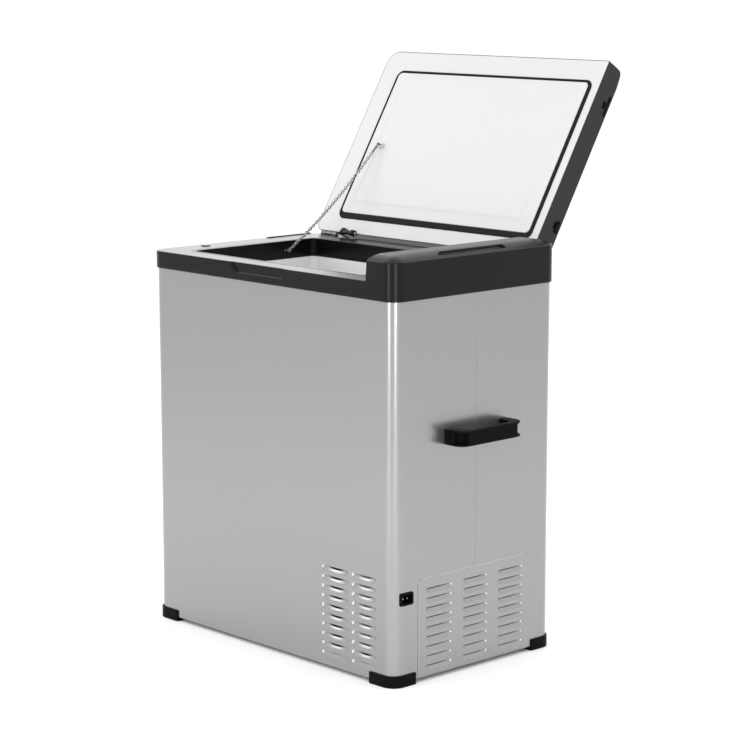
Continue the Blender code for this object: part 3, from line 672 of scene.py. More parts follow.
HEM = ((BODY_BOTTOM, 0.5 * MM), (BODY_BOTTOM + 0.3 * MM, 0.15 * MM), (BODY_BOTTOM + 0.9 * MM, 0.0))
VENT_SILL = 14.8 * MM
RIGHT_WALL = (HALF_X - 10 * MM, HALF_X + 10 * MM)
VENT_HOLE = ((RIGHT_WALL[0], -VENT_HALF, VENT_SILL), (RIGHT_WALL[1], VENT_HALF, 0.158))
INLET_HOLE = ((RIGHT_WALL[0], INLET_FRONT, 0.1352), (RIGHT_WALL[1], INLET_REAR, 0.1538))
shell_rows = plain([*dict(HEM), VENT_SILL]) + front_louvres.heights() + plain(spread(0.19, SHELL_TOP, 6))


def seam_ends(path, rolls):
    """How far the columns at both ends of a sheet stand in."""
    last = len(path) - 1
    return tuple(pair for i, roll in enumerate(rolls) for pair in ((i, roll), (last - i, roll)))


for side in ("front", "rear"):
    front = side == "front"
    path = shell_path(front)
    ends = () if front else seam_ends(path, REAR_SEAM)
    louvres = front_louvres if front else None
    mesh = pressed_sheet(path, shell_rows, louvres, (VENT_HOLE, INLET_HOLE), HEM, ends)
    plate(f"{side}_sheet", mesh, f"{side}_shell")


def vent_sheet():
    """The louvred service panel, with its upper corners cut and its edge rolled."""
    half, bottom, top, cut = vent_high.y - CENTRE_Y, vent_low.z, vent_high.z, 5 * MM
    face = vent_high.x
    roll = (1.4 * MM, 0.8 * MM, 0.25 * MM, 0.0)
    inset = (0.0, 0.5 * MM, 1.2 * MM, 2.2 * MM)
    ys = [-half + i for i in inset] + [-half + cut] + side_louvres.stops() + [half - cut]
    ys += [half - i for i in reversed(inset)]
    path = [(face, y, 1, 0, y) for y in ys]
    rows = plain(bottom + i for i in inset) + side_louvres.heights() + plain(top - i for i in reversed(inset))
    hem = [(bottom + i, r) for i, r in zip(inset, roll)] + [(top - i, r) for i, r in zip(inset, roll)]
    mesh = pressed_sheet(path, rows, side_louvres, (), hem, seam_ends(path, roll))
    for corner in mesh.vertices:
        limit = top - max(0.0, abs(corner.co.y) - (half - cut))
        if corner.co.z > VENT_SHOULDER:
            share = (corner.co.z - VENT_SHOULDER) * (limit - VENT_SHOULDER) / (top - VENT_SHOULDER)
            corner.co.z = VENT_SHOULDER + share
    return mesh


plate("vent_panel_sheet", vent_sheet(), "vent_panel")

# Corner feet; the corner under the body's own corner has the frame's radius
FOOT_CORNERS = {(-1, 1): 0, (1, 1): 1, (1, -1): 2, (-1, -1): 3}
for end, front in (("front", -1), ("rear", 1)):
    for side, right in (("left", -1), ("right", 1)):
        low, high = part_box(f"foot_{end}_{side}")
        radii = [3 * MM] * 4
        radii[FOOT_CORNERS[(front, right)]] = FRAME_CORNER
        plan = (low.x, high.x, low.y - CENTRE_Y, high.y - CENTRE_Y)
        foot = prism([rounded(*plan, tuple(radii), 10)], low.z, high.z)
        tread_x = (plan[0] + 12 * MM, plan[1] - 12 * MM)
        tread_y = (plan[2] + 11 * MM, plan[3] - 11 * MM)
        grooves = [block(tread_x, (y - 1 * MM, y + 1 * MM), (-1 * MM, 1.2 * MM)) for y in spread(*tread_y, 4)]
        foot = carved(foot, prism([BODY_PLAN], BODY_BOTTOM - GAP, 0.1), *grooves)
        add(
            f"corner_cap_{end}_{side}", foot, "black_plastic", stands_for=f"foot_{end}_{side}", edge=0.9 * MM,
            finish=MATT_BLACK,
        )


# Top frame
def crowned_block():
    """The frame's outer form: upright walls, a crisp edge and a crowned top."""
    rise = CONSOLE_TOP - CONSOLE_EDGE
    radius = (CROWN**2 + rise**2) / (2 * rise)
    rings = []
    for inset, height in ((0.8 * MM, SKIRT_BOTTOM), (0, SKIRT_BOTTOM + 0.8 * MM), (0, CONSOLE_EDGE)):
        outline = rounded(*grown((-FRAME_X, FRAME_X, -FRAME_Y, FRAME_Y), -inset), FRAME_CORNER - inset, 12)
        rings.append(level(outline, height))
    for step in range(1, 11):
        inset = CROWN * step / 10
        drop = radius - math.sqrt(radius**2 - (CROWN - inset) ** 2)
        corner = max(FRAME_CORNER - inset, 2 * MM)
        outline = rounded(*grown((-FRAME_X, FRAME_X, -FRAME_Y, FRAME_Y), -inset), corner, 12)
        rings.append(level(outline, CONSOLE_TOP - drop))
    return loft(rings)


def moulded_frame():
    """Skirt, rim, collar and console in one moulding."""
    lean = CONSOLE_DRAFT * (OVER - RIM_TOP) / (CONSOLE_TOP - RIM_TOP)
    above_rim = [(-0.4, RIM_TOP), (CONSOLE_LEFT, RIM_TOP), (CONSOLE_LEFT + lean, OVER), (-0.4, OVER)]
    shell_space = prism([BODY_PLAN], 0.6, SHELL_TOP + GAP)
    solid = carved(crowned_block(), prism([above_rim], -0.3, 0.3, "Y"), shell_space)
    collar = rounded(*grown(OPENING, COLLAR_WALL), OPENING_CORNER + COLLAR_WALL, 10)
    solid = united(solid, prism([collar], COLLAR_BOTTOM, SHELL_TOP + 4 * MM))

    hole = prism([rounded(*OPENING, OPENING_CORNER, 10)], 0.5, OVER)
    groove = [rounded(*grown(OPENING, out), OPENING_CORNER + out, 10) for out in (7.2 * MM, 5.8 * MM)]
    groove = prism(groove, RIM_TOP - 1.2 * MM, 0.7)
    inside_console = block((0.246, 0.297), (-0.178, 0.178), (0.6, 0.678))
    left, front, rear, floor = SHELF
    shelf = [(left, front), (left + 0.02, front - 0.025), (left + 0.02, rear - 0.004), (left, rear)]
    shelf = prism([shelf], floor, OVER)
    panel = block(PANEL[:2], PANEL[2:], (floor - 2 * MM, OVER))
    through_x, through_y = (PANEL[0] + 1.2 * MM, PANEL[1] - 1.2 * MM), (PANEL[2] + 3 * MM, PANEL[3] - 3 * MM)
    through = block(through_x, through_y, (0.66, OVER))
    scoop = [(-0.073, 0.635), (0.041, 0.635), (0.043, 0.66), (-0.097, 0.66)]
    scoop = prism([scoop], -0.2, -FRAME_Y + 2.5 * MM, "Y")
    solid = carved(solid, hole, groove, inside_console, shelf, panel, through, scoop)
    for shift in (1 * MM, 6 * MM):
        rib = swept([(-0.0765 - shift, -FRAME_Y, 0.6345), (-0.0895 - shift, -FRAME_Y, 0.6497)], 1.2 * MM, 12)
        solid = united(solid, rib)
    lug_notch = block((-0.234, -0.182), (0.173, 0.2), (0.635, 0.7))
    return carved(solid, lug_notch)


settle_normals(add("top_moulding", moulded_frame(), "black_plastic", stands_for="top_frame", edge=0.7 * MM))

for name, node in (("rim_pad", "lid_rest_pad"), ("rim_strip", "rim_riser")):
    low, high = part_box(node)
    outline = rounded(low.x, high.x, low.y, high.y, 1.5 * MM, 5)
    add(name, prism([outline], low.z, high.z), "black_plastic", stands_for=node, place=None, edge=0.5 * MM)


# Control shelf
SHELF_CUT = (SHELF[3] - 10 * MM, SHELF[3] + 10 * MM)
WINDOW = (PANEL[0] + 1.7 * MM, PANEL[1] - 1.7 * MM, -0.010, 0.060)
BUTTON_X = (PANEL[0] + PANEL[1]) / 2
buttons = []
for number in range(1, 5):
    low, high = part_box(f"button_{number}")
    middle_y = (low.y + high.y) / 2 - CENTRE_Y
    buttons.append(middle_y)
    radius = (high.x - low.x) / 2
    profile = (
        (radius, low.z), (radius, high.z - 0.8 * MM), (radius - 0.25 * MM, high.z - 0.3 * MM),
        (radius - 0.8 * MM, high.z), (radius - 1.2 * MM, high.z - 0.05 * MM),
        (radius * 0.35, high.z - 0.35 * MM), (0, high.z - 0.4 * MM),
    )
    cap = turned(profile, (BUTTON_X, middle_y, 0))
    add(f"button_cap_{number}", cap, "black_rubber", f"key_{number}", f"button_{number}", angle=50)

bezel_low, bezel_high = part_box("panel_bezel")
bezel = prism([rounded(*grown(PANEL, -GAP), 1 * MM, 4)], bezel_low.z, bezel_high.z)
holes = [prism([arc((BUTTON_X, y), 3.6 * MM, 0, 345, 23)], *SHELF_CUT) for y in buttons]
bezel = carved(bezel, prism([rounded(*WINDOW, 1 * MM, 4)], *SHELF_CUT), *holes)
add("control_bezel", bezel, "black_plastic", stands_for="panel_bezel", edge=0.25 * MM)
lens_low, lens_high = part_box("display_lens")
lens = prism([rounded(*grown(WINDOW, -GAP), 0.8 * MM, 4)], lens_low.z, lens_high.z)
add("display_window", lens, "display_glass", stands_for="display_lens", edge=0.3 * MM, steps=3)


# Liner
def tub():
    """The inner tub: a deep left part and a step over the machine bay."""
    inner = grown(OPENING, 0.5 * MM)
    outer = grown(inner, LINER_WALL)
    deep = (inner[0], DEEP_RIGHT, inner[2], inner[3])
    solid = prism([rounded(*outer, 14.5 * MM, 10)], liner_low.z, liner_high.z)
    bay = block((DEEP_RIGHT + LINER_WALL, 0.3), (-0.2, 0.2), (0, STEP_FLOOR - LINER_WALL))
    upper = prism([rounded(*inner, 12 * MM, 10)], STEP_FLOOR, 0.7)
    lower = prism([rounded(*deep, 12 * MM, 10)], liner_low.z + LINER_WALL, STEP_FLOOR + 0.05)
    return carved(solid, bay, upper, lower)


settle_normals(add("inner_tub", tub(), "liner_plastic", stands_for="liner", edge=2 * MM, steps=3))

lamp_low, lamp_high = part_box("interior_light")
lamp = block((lamp_low.x, lamp_high.x), (lamp_low.y, lamp_high.y), (lamp_low.z, lamp_high.z))
flute_x = (lamp_low.x - 0.01, lamp_low.x + 0.5 * MM)
flute_z = (lamp_low.z + 2 * MM, lamp_high.z - 2 * MM)
flute_y = spread(lamp_low.y + 5 * MM, lamp_high.y - 5 * MM, 10)
lamp = carved(lamp, *(block(flute_x, (y - 0.4 * MM, y + 0.4 * MM), flute_z) for y in flute_y))
add("light_diffuser", lamp, "white_plastic", stands_for="interior_light", place=None, edge=0.3 * MM)


# Power inlet
def inlet():
    """A framed two-pin socket."""
    plan = (inlet_low.y - CENTRE_Y, inlet_high.y - CENTRE_Y, inlet_low.z, inlet_high.z)
    face_x = inlet_high.x
    section = [(0, HALF_X - 2 * MM), (0, face_x - 0.9 * MM)]
    section += [(0.35 * MM, face_x - 0.25 * MM), (1 * MM, face_x)]
    rings = []
    for inset, x in section:
        outline = rounded(*grown(plan, -inset), 3.4 * MM - inset, 6)
        rings.append([(x, y, z) for y, z in outline])
    face = loft(rings)
    back = prism([rounded(*grown(plan, -1.5 * MM), 1.8 * MM, 5)], inlet_low.x, HALF_X, "X")
    socket = prism([rounded(*grown(plan, -3.8 * MM), 2 * MM, 5)], inlet_low.x + 8 * MM, 0.31, "X")
    return carved(united(face, back), socket)


add("inlet_frame", inlet(), "black_plastic", stands_for="power_inlet", edge=0.3 * MM, finish=MATT_BLACK)

# Carrying handles
HANDLE_HALF = (handle_high.y - handle_low.y) / 2
REACH = handle_high.x - HALF_X
FLANGE = 3.5 * MM
POCKET = (  # distance from the wall and from the middle of the bow, in mm
    (21.5, 80), (21.5, 64), (24.5, 58.5), (30.5, 56.5), (50, 56.5), (50, 80),
)


def bow_side(half, reach, corner):
    """The three free sides of a bow in plan, as (distance from the middle plane, y), front to rear."""
    outline = rounded(0, HALF_X + reach, -half, half, (corner, corner, 0, 0), 10)
    return [(HALF_X + GAP, -half), *outline[:-2], (HALF_X + GAP, half)]


def handle(right):
    """A thick bow with round corners, and a pocket open to the outside in each corner."""
    bow = bow_side(HANDLE_HALF, REACH, 18 * MM)
    bow += reversed(bow_side(HANDLE_HALF - 20 * MM, REACH - 11.5 * MM, 10 * MM))
    bar = prism([[(right * x, y) for x, y in bow]], handle_low.z, handle_high.z)
    for toward in (-1, 1):
        pocket = [(right * (HALF_X + out * MM), toward * y * MM) for out, y in POCKET]
        bar = carved(bar, prism([pocket], handle_low.z + FLANGE, handle_high.z - FLANGE))
    return bar


for side, right in (("left", -1), ("right", 1)):
    grip = add(
        f"{side}_grip", handle(right), "black_plastic", stands_for=f"handle_{side}", edge=1.4 * MM, steps=3,
        finish=MATT_BLACK,
    )
    settle_normals(grip)


# Lid
def lid_plan(inset=0.0, smallest=1.0 * MM):
    """The lid's outline in lid space, with a wide bend at its free left corner."""
    radii = tuple(max(r * MM - inset, smallest) for r in (2, 2, 15, 25))
    box = (LID_LEFT, LID_RIGHT, -LID_REACH, -LID_REAR)
    return rounded(*grown(box, -inset), radii, 10)


LID_EDGE = (  # distance from the hinge line, height above the inner face
    (LID_REACH, 0.4 * MM), (LID_REACH, 14 * MM), (0.3752, 24 * MM), (0.3743, 32 * MM),
    (0.3728, 35.6 * MM), (0.3700, 37.8 * MM), (0.3640, 39.4 * MM), (0.3560, 40.7 * MM),
    (0.3480, 41.6 * MM), (0.3400, LID_THICK), (0.0180, LID_THICK), (0.0120, 41.4 * MM),
    (0.0080, 39.4 * MM), (0.0060, 37.0 * MM), (LID_REAR, 33.0 * MM), (LID_REAR, 0.4 * MM),
)
LID_FILLED = 33.5 * MM  # height of the wide part of the lid's hollow
CATCH_DEPTH = 9 * MM  # of a catch's housing, from the lid's right face
CATCH_HOUSINGS = ((0.285, 0.328, 21 * MM, 41 * MM), (0.061, 0.089, 19 * MM, 41 * MM))
CATCH_RECESSES = (  # nearest and furthest from the hinge line, lowest and highest above the inner face
    (0.299, 0.312, 24 * MM, 39.5 * MM),
    (0.288, 0.300, 33 * MM, 39 * MM),
    (0.311, 0.325, 33 * MM, 39.5 * MM),
    (0.069, 0.081, 22 * MM, 38 * MM),
    (0.064, 0.070, 28 * MM, 38 * MM),
    (0.080, 0.086, 28 * MM, 38 * MM),
)


def lid_filling():
    """The foam inside the lid, clear of the catch recesses."""
    solid = prism([lid_plan(LID_WALL + GAP)], PAN_THICK + GAP, LID_FILLED - GAP)
    for near, far, lowest, highest in CATCH_HOUSINGS:
        clear = (LID_RIGHT - CATCH_DEPTH - GAP, LID_RIGHT)
        solid = carved(solid, block(clear, (-far - GAP, -near + GAP), (lowest - GAP, highest)))
    return solid


add("lid_filling", lid_filling(), "foam", "lid", "lid_foam", LID_SPACE)


def lid_cover():
    """The lid's outer shell, hollow, with two catch recesses in its right side."""
    profile = [(-s, t) for s, t in LID_EDGE]
    solid = prism([profile], LID_LEFT - 0.01, LID_RIGHT + 0.01, "X")
    solid = carved(solid, prism([lid_plan()], -0.02, 0.08), operation="INTERSECT")
    lip = prism([lid_plan(0.8 * MM)], -0.02, LID_WALL)
    low = prism([lid_plan(LID_WALL)], -0.02, LID_FILLED)
    high = prism([lid_plan(13 * MM)], -0.02, LID_THICK - LID_WALL)
    solid = carved(solid, lip, low, high)
    for near, far, lowest, highest in CATCH_HOUSINGS:
        inside = (LID_RIGHT - CATCH_DEPTH, LID_RIGHT - 1 * MM)
        solid = united(solid, block(inside, (-far, -near), (lowest, highest)))
    for near, far, lowest, highest in CATCH_RECESSES:
        outside = (LID_RIGHT - CATCH_DEPTH + 2 * MM, LID_RIGHT + 0.01)
        solid = carved(solid, block(outside, (-far, -near), (lowest, highest)))
    return solid


settle_normals(
    add("lid_cover", lid_cover(), "lid_plastic", "lid", "lid_shell", LID_SPACE, edge=1.0 * MM, steps=3)
)

SEAL = (-0.2562, 0.2092, -0.3322, -0.0446)  # the seal's inner edge in lid space
SEAL_WIDTHS = (4.4 * MM, 8 * MM, 4.6 * MM, 11.6 * MM)  # on the left, right, free and hinge sides
FIELD_EDGE = ((0.25, 0), (0.3, -1.0), (0.7, -1.45), (1.5, -1.6))  # distance in from the seal, height, in mm
PLUG_FACE = -3.0
PLUG_SLOPE = (  # distance in from the plug's edge, height, in mm
    (-1, -1.6), (0.5, -1.66), (2, -1.85), (3.5, -2.15), (5, -2.5), (6.5, -2.8), (8, -2.95), (9.5, PLUG_FACE),
)
SEAL_SECTION = (  # share of the seal's width, height in mm
    (0, -0.12), (0, -0.9), (0.1, -1.6), (0.28, -1.85), (0.42, -1.5),
    (0.58, -1.5), (0.72, -1.85), (0.9, -1.6), (1, -0.9), (1, -0.12),
)


def lid_inner():
    """The white inner pan, raised inside the seal and again for its soft-edged plug."""
    x0, x1, y0, y1 = OPENING
    plug = (x0 + 4 * MM, x1 - 4 * MM, y0 + 6 * MM - AXIS_Y, y1 - 6 * MM - AXIS_Y)
    edge = ((0.9 * MM, PAN_THICK), (0.9 * MM, 0.4 * MM), (1.05 * MM, 0.1 * MM), (1.4 * MM, 0))
    rings = [level(lid_plan(inset), height) for inset, height in edge]
    for inset, height in FIELD_EDGE:
        rings.append(level(rounded(*grown(SEAL, -inset * MM), (9 - inset) * MM, 10), height * MM))
    for inset, height in PLUG_SLOPE:
        outline = rounded(*grown(plug, -inset * MM), 13 * MM - inset * MM * 0.8, 10)
        rings.append(level(outline, height * MM))
    return loft(rings)


settle_normals(add("lid_inner_pan", lid_inner(), "white_plastic", "lid", "lid_pan", LID_SPACE, angle=60))


def gasket():
    """A bulb seal round the plug, with a shallow groove along its crest."""
    rings = []
    for part, height in SEAL_SECTION:
        left, right, free, hinged = (width * part for width in SEAL_WIDTHS)
        box = (SEAL[0] - left, SEAL[1] + right, SEAL[2] - free, SEAL[3] + hinged)
        rings.append(level(rounded(*box, (9.2 + 6 * part) * MM, 12), height * MM))
    return loft(rings, looped=True)


add("seal", gasket(), "black_rubber", "lid", "lid_gasket", LID_SPACE, angle=50)

LUG = (-0.2055, -0.0020, -9.6 * MM)
LUG_HALF, LUG_RADIUS = 17.5 * MM, 6.2 * MM


def lug():
    """A barrel with a boss at each end, on a web at the left of the lid's rear edge."""
    waist = 4.2 * MM
    profile = [
        (LUG_RADIUS - 1 * MM, -LUG_HALF), (LUG_RADIUS, -LUG_HALF + 1 * MM), (LUG_RADIUS, -LUG_HALF + 9 * MM),
        (LUG_RADIUS - 0.8 * MM, -LUG_HALF + 9.8 * MM), (waist, -LUG_HALF + 10.2 * MM),
    ]
    profile += [(radius, -at) for radius, at in reversed(profile)]
    barrel = turned(profile, LUG, "X")
    left = LUG[0] - LUG_HALF
    web = block((left, left + 8 * MM), (-0.010, -0.0052), (LUG[2], -GAP))
    foot = block((left, left + 8 * MM), (-0.010, LUG[1]), (LUG[2] - 3 * MM, LUG[2] + 3 * MM))
    return united(barrel, web, foot)


add("rear_lug", lug(), "black_plastic", "lid", "lid_lug", LID_SPACE, edge=0.3 * MM, angle=50)
lug_pin = rod((LUG[0] + 0.4 * MM, LUG[1], LUG[2]), 3 * MM, 2 * LUG_HALF + 1.6 * MM)
add("rear_lug_pin", lug_pin, "plated_steel", "lid", (), LID_SPACE)
washer = rod((LUG[0] - LUG_HALF + 10 * MM, LUG[1], LUG[2]), 5 * MM, 0.9 * MM, edge=0.2 * MM)
add("rear_lug_washer", washer, "plated_steel", "lid", (), LID_SPACE)


# Hinges
KNUCKLE, PIN = 4.5 * MM, 1.6 * MM
LEAF_HALF = 20 * MM
LEAF = 2 * MM  # thickness


def screw(centre, axis, radius=3.1 * MM, outward=1):
    """A domed cross-head screw; its head grows along the axis from centre."""
    rise = 1.5 * MM * outward
    profile = [(radius, 0), (radius * 0.97, rise * 0.35), (radius * 0.8, rise * 0.75), (radius * 0.45, rise)]
    head = turned(profile, centre, axis, 24)
    cuts = []
    for long, short in ((radius * 0.6, 0.45 * MM), (0.45 * MM, radius * 0.6)):
        loop = [(-long, -short), (long, -short), (long, short), (-long, short)]
        moved = {"X": (1, 2, 0), "Y": (0, 2, 1), "Z": (0, 1, 2)}[axis]
        loop = [(u + centre[moved[0]], v + centre[moved[1]]) for u, v in loop]
        ends = sorted((centre[moved[2]] + rise * 0.4, centre[moved[2]] + rise * 2))
        cuts.append(prism([loop], *ends, axis))
    return carved(head, *cuts)


def add_leaf(name, mesh, *where):
    """A hinge leaf, in darker steel than the pins."""
    add(name, mesh, "plated_steel", *where, edge=0.3 * MM, angle=40, finish=DARK_STEEL)


for side in ("left", "right"):
    low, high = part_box(f"hinge_pin_{side}")
    x = (low.x + high.x) / 2
    back = FRAME_Y + GAP
    leaf = block((x - LEAF_HALF, x + LEAF_HALF), (back, back + LEAF), (0.625, 0.6475))
    for centre in (x - 14.2 * MM, x + 14.2 * MM):
        tab = block((centre - 5.8 * MM, centre + 5.8 * MM), (back, back + LEAF), (0.640, AXIS.z))
        leaf = united(leaf, tab, rod((centre, AXIS_Y, AXIS.z), KNUCKLE, 11.6 * MM))
    leaf = carved(leaf, rod((x, AXIS_Y, AXIS.z), PIN + GAP, 60 * MM))
    add_leaf(f"{side}_body_leaf", leaf, "cabinet", f"hinge_leaf_body_{side}")

    rise = AXIS.z - PAN_FACE
    lid_back = (-LID_REAR + GAP, -LID_REAR + GAP + LEAF)
    flap = block((x - LEAF_HALF, x + LEAF_HALF), lid_back, (5.1 * MM, 32.6 * MM))
    tab = block((x - 7.8 * MM, x + 7.8 * MM), lid_back, (rise, 9 * MM))
    flap = united(flap, tab, rod((x, 0, rise), KNUCKLE, 15.6 * MM))
    flap = carved(flap, rod((x, 0, rise), PIN + GAP, 60 * MM))
    add_leaf(f"{side}_lid_leaf", flap, "lid", f"hinge_leaf_lid_{side}", LID_SPACE)
    pin = rod((x, AXIS_Y, AXIS.z), PIN, high.x - low.x, edge=0.5 * MM)
    add(f"{side}_hinge_pin", pin, "plated_steel", stands_for=f"hinge_pin_{side}")
    for end, tag in ((-1, "outer"), (1, "inner")):
        head = screw((x + end * 8 * MM, back + LEAF, 0.6335), "Y", 2.6 * MM)
        add(f"{side}_body_screw_{tag}", head, "plated_steel", angle=40)
        head = screw((x + end * 12 * MM, lid_back[1], 22 * MM), "Y", 2.6 * MM)
        add(f"{side}_lid_screw_{tag}", head, "plated_steel", "lid", (), LID_SPACE, angle=40)


# Lid stay: eye on the collar, chain, spring and hook on the lid
EYE = Vector((-0.2368, 0.0710 + CENTRE_Y, 0.6350))
HOOK_S, HOOK_OUT, HOOK_X = 0.181, 11.5 * MM, -0.222
HOOK = LID_SPACE @ Vector((HOOK_X, -HOOK_S, -HOOK_OUT))
SAG = 10 * MM
WIRE = 0.85 * MM


def stay_point(t):
    """A point along the sagging stay, 0 at the eye and 1 at the hook."""
    return EYE.lerp(HOOK, t) + Vector((0, 0, -SAG * 4 * t * (1 - t)))


def link(centre, along, across, length, width, wire):
    """One oval link, lying in the plane of along and across."""
    radius = width / 2 - wire
    straight = length / 2 - wire - radius
    points = []
    for end in (1, -1):
        for i in range(7):
            a = math.radians(-90 + 30 * i)
            u = end * (straight + radius * math.cos(a))
            points.append(centre + along * u + across * end * radius * math.sin(a))
    return swept(points, wire, 6, True)


def stay_links():
    """The chain's links, each a quarter turn from the last."""
    length = (HOOK - EYE).length
    start, finish = 4.5 * MM / length, 1 - 23 * MM / length
    pitch = 4.9 * MM
    count = round((finish - start) * length / pitch)
    links = []
    for i in range(count + 1):
        t = start + (finish - start) * i / count
        along = (stay_point(t + 0.004) - stay_point(t - 0.004)).normalized()
        side = along.cross(Vector((0, 0, 1))).normalized()
        turn = Matrix.Rotation(math.radians(45 + 90 * (i % 2)), 3, along)
        links.append(link(stay_point(t), along, turn @ side, 8.4 * MM, 6.2 * MM, WIRE))
    return joined(links), stay_point(finish)


chain_mesh, spring_foot = stay_links()
chain = add("stay_chain", chain_mesh, "plated_steel", None, "lid_chain", None, angle=60)
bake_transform(chain)


def coil_spring(foot, head):
    """A close-wound extension spring with a hook at each end."""
    along = (head - foot).normalized()
    across = along.orthogonal().normalized()
    up = along.cross(across)
    turns, radius, wire = 11, 1.9 * MM, 0.42 * MM
    start, body = 3.2 * MM, (head - foot).length - 6.4 * MM
    steps = turns * 12
    points = [foot + along * 0.2 * MM, foot + along * 1.6 * MM + across * radius * 0.5]
    for i in range(steps + 1):
        a = math.tau * i / 12
        round_it = (across * math.cos(a) + up * math.sin(a)) * radius
        points.append(foot + along * (start + body * i / steps) + round_it)
    points += [head - along * 1.6 * MM + across * radius * 0.5, head - along * 0.2 * MM]
    return swept(points, wire, 6)


spring = coil_spring(spring_foot, HOOK)
add("stay_spring", spring, "plated_steel", "lid", (), None, angle=60, finish=DARK_STEEL)


def ring_mesh(centre, along, across, radius, wire, steps=20):
    """A closed wire ring in the plane of along and across."""
    turns = [math.tau * i / steps for i in range(steps)]
    points = [centre + (along * math.cos(a) + across * math.sin(a)) * radius for a in turns]
    return swept(points, wire, 8, True)


def stud(start, end):
    """A round post."""
    return swept([Vector(start).lerp(Vector(end), i / 3) for i in range(4)], 1.1 * MM, 10)


eye_at = EYE - Vector((0, CENTRE_Y, 0))
eye_face = OPENING[0] + 1.5 * MM
eye_outline = rounded(eye_at.y - 8 * MM, eye_at.y + 8 * MM, 0.630, 0.640, 3 * MM, 5)
eye_plate = prism([eye_outline], OPENING[0] + GAP, eye_face, "X")
add("stay_eye_plate", eye_plate, "black_plastic", edge=0.3 * MM)
eye_mesh = joined([
    stud((OPENING[0] + 1.2 * MM, eye_at.y, eye_at.z), (eye_at.x - 2.6 * MM, eye_at.y, eye_at.z)),
    ring_mesh(eye_at, Vector((1, 0, 0)), Vector((0, 0, 1)), 3.2 * MM, 1.0 * MM),
    *(screw((eye_face, eye_at.y + shift, eye_at.z), "X", 1.5 * MM) for shift in (-5.6 * MM, 5.6 * MM)),
])
add("stay_eye", eye_mesh, "plated_steel", stands_for="chain_eye", edge=0.2 * MM, angle=50)

hook_at = Vector((HOOK_X, -HOOK_S, -HOOK_OUT))
pad_face = -PLUG_DEPTH - GAP - 1.4 * MM
pad_outline = rounded(HOOK_X - 6 * MM, HOOK_X + 6 * MM, -HOOK_S - 4.5 * MM, -HOOK_S + 4.5 * MM, 2.5 * MM, 5)
pad = prism([pad_outline], pad_face, PLUG_FACE * MM - GAP)
add("stay_hook_pad", pad, "white_plastic", "lid", (), LID_SPACE, edge=0.3 * MM)
hook_mesh = joined([
    stud((HOOK_X, -HOOK_S, pad_face + 0.2 * MM), (HOOK_X, -HOOK_S, -HOOK_OUT + 2.4 * MM)),
    ring_mesh(hook_at, Vector((0, 0, 1)), Vector((1, 0, 0)), 2.7 * MM, 0.8 * MM),
    *(screw((HOOK_X + shift, -HOOK_S, pad_face), "Z", 1.3 * MM, -1) for shift in (-3.9 * MM, 3.9 * MM)),
])
add(
    "stay_hook", hook_mesh, "plated_steel", "lid", "chain_hook", LID_SPACE,
    edge=0.2 * MM, angle=50, finish=DARK_STEEL,
)

# The pieces inside keep their CAD shapes and take their record's slot
slots = {entry["node"]: entry["material_slot"] for entry in frame["record"]["subparts"]}
for name, node in frame["nodes"].items():
    node.data.materials.clear()
    node.data.materials.append(LOOKS[slots[name]])

# Stage, light and camera
floor_mesh = bpy.data.meshes.new("floor")
shape = bmesh.new()
bmesh.ops.create_circle(shape, cap_ends=True, segments=96, radius=14)
shape.to_mesh(floor_mesh)
shape.free()
floor_piece = bpy.data.objects.new("floor", floor_mesh)
HOME.link(floor_piece)
floor_look = shader("floor_look", (0.88, 0.88, 0.88), 0.7, specular=0.2, grain=40, mottle=0.005)
floor_mesh.materials.append(floor_look)

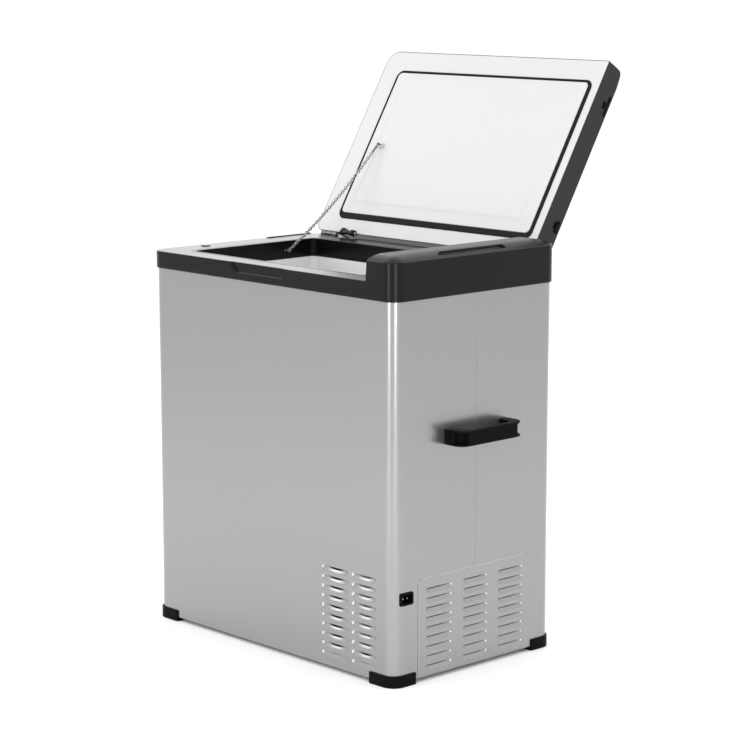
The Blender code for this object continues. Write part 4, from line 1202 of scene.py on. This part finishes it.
world = bpy.data.worlds.new("studio")
bpy.context.scene.world = world
world.use_nodes = True
HORIZON, ZENITH = 1.01, 1.3
sky = world.node_tree
direction = new_node(sky, "TexCoord", {}).outputs["Generated"]
height = new_node(sky, "SeparateXYZ", {"Vector": direction}).outputs["Z"]
brightness = new_node(sky, "MapRange", {"Value": height, "To Min": HORIZON, "To Max": ZENITH})
fill(sky, sky.nodes["Background"], {"Color": (1, 1, 1, 1), "Strength": brightness.outputs["Result"]})
bpy.context.scene.view_settings.view_transform = "Standard"

CAMERA_AT = Vector((2.9316, -2.8159, 1.1549))
CAMERA_AZIMUTH, CAMERA_ELEVATION = 46.80, 10.47
SUBJECT = Vector((0, CENTRE_Y, 0.38))


def outward(azimuth, elevation):
    """The direction from the subject towards a viewer there."""
    a, e = math.radians(azimuth), math.radians(elevation)
    return Vector((math.sin(a) * math.cos(e), -math.cos(a) * math.cos(e), math.sin(e)))


def softbox(name, azimuth, elevation, distance, width, height, radiance):
    """A rectangular light that faces the subject, given by the brightness of its face."""
    data = bpy.data.lights.new(name, "AREA")
    data.shape = "RECTANGLE"
    data.size, data.size_y = width, height
    data.energy = radiance * math.pi * width * height
    lamp_object = bpy.data.objects.new(name, data)
    direction = outward(azimuth, elevation)
    lamp_object.location = SUBJECT + direction * distance
    lamp_object.rotation_mode = "QUATERNION"
    lamp_object.rotation_quaternion = direction.to_track_quat("Z", "Y")
    lamp_object.visible_camera = False
    HOME.link(lamp_object)


SOFTBOXES = (  # name, azimuth, elevation, distance, width, height, radiance
    ("strip_left", 12, 14, 2.3, 0.36, 1.5, 8.0),
    ("strip_right", 58, 14, 2.3, 0.36, 1.5, 8.0),
    ("high_left", -60, 36, 2.4, 1.1, 1.1, 2.4),
    ("high_right", 156, 42, 2.4, 1.1, 1.1, 2.8),
    ("behind", CAMERA_AZIMUTH + 180, 13, 3.0, 3.6, 1.4, 1.12),
)
for box in SOFTBOXES:
    softbox(*box)

camera_data = bpy.data.cameras.new("camera")
camera_data.lens = 116.55
camera_data.sensor_width = 36
camera_data.shift_x = -0.0061
camera_data.shift_y = 0.0342
camera = bpy.data.objects.new("camera", camera_data)
camera.location = CAMERA_AT
camera.rotation_mode = "QUATERNION"
camera.rotation_quaternion = outward(CAMERA_AZIMUTH, CAMERA_ELEVATION).to_track_quat("Z", "Y")
HOME.link(camera)
bpy.context.scene.camera = camera
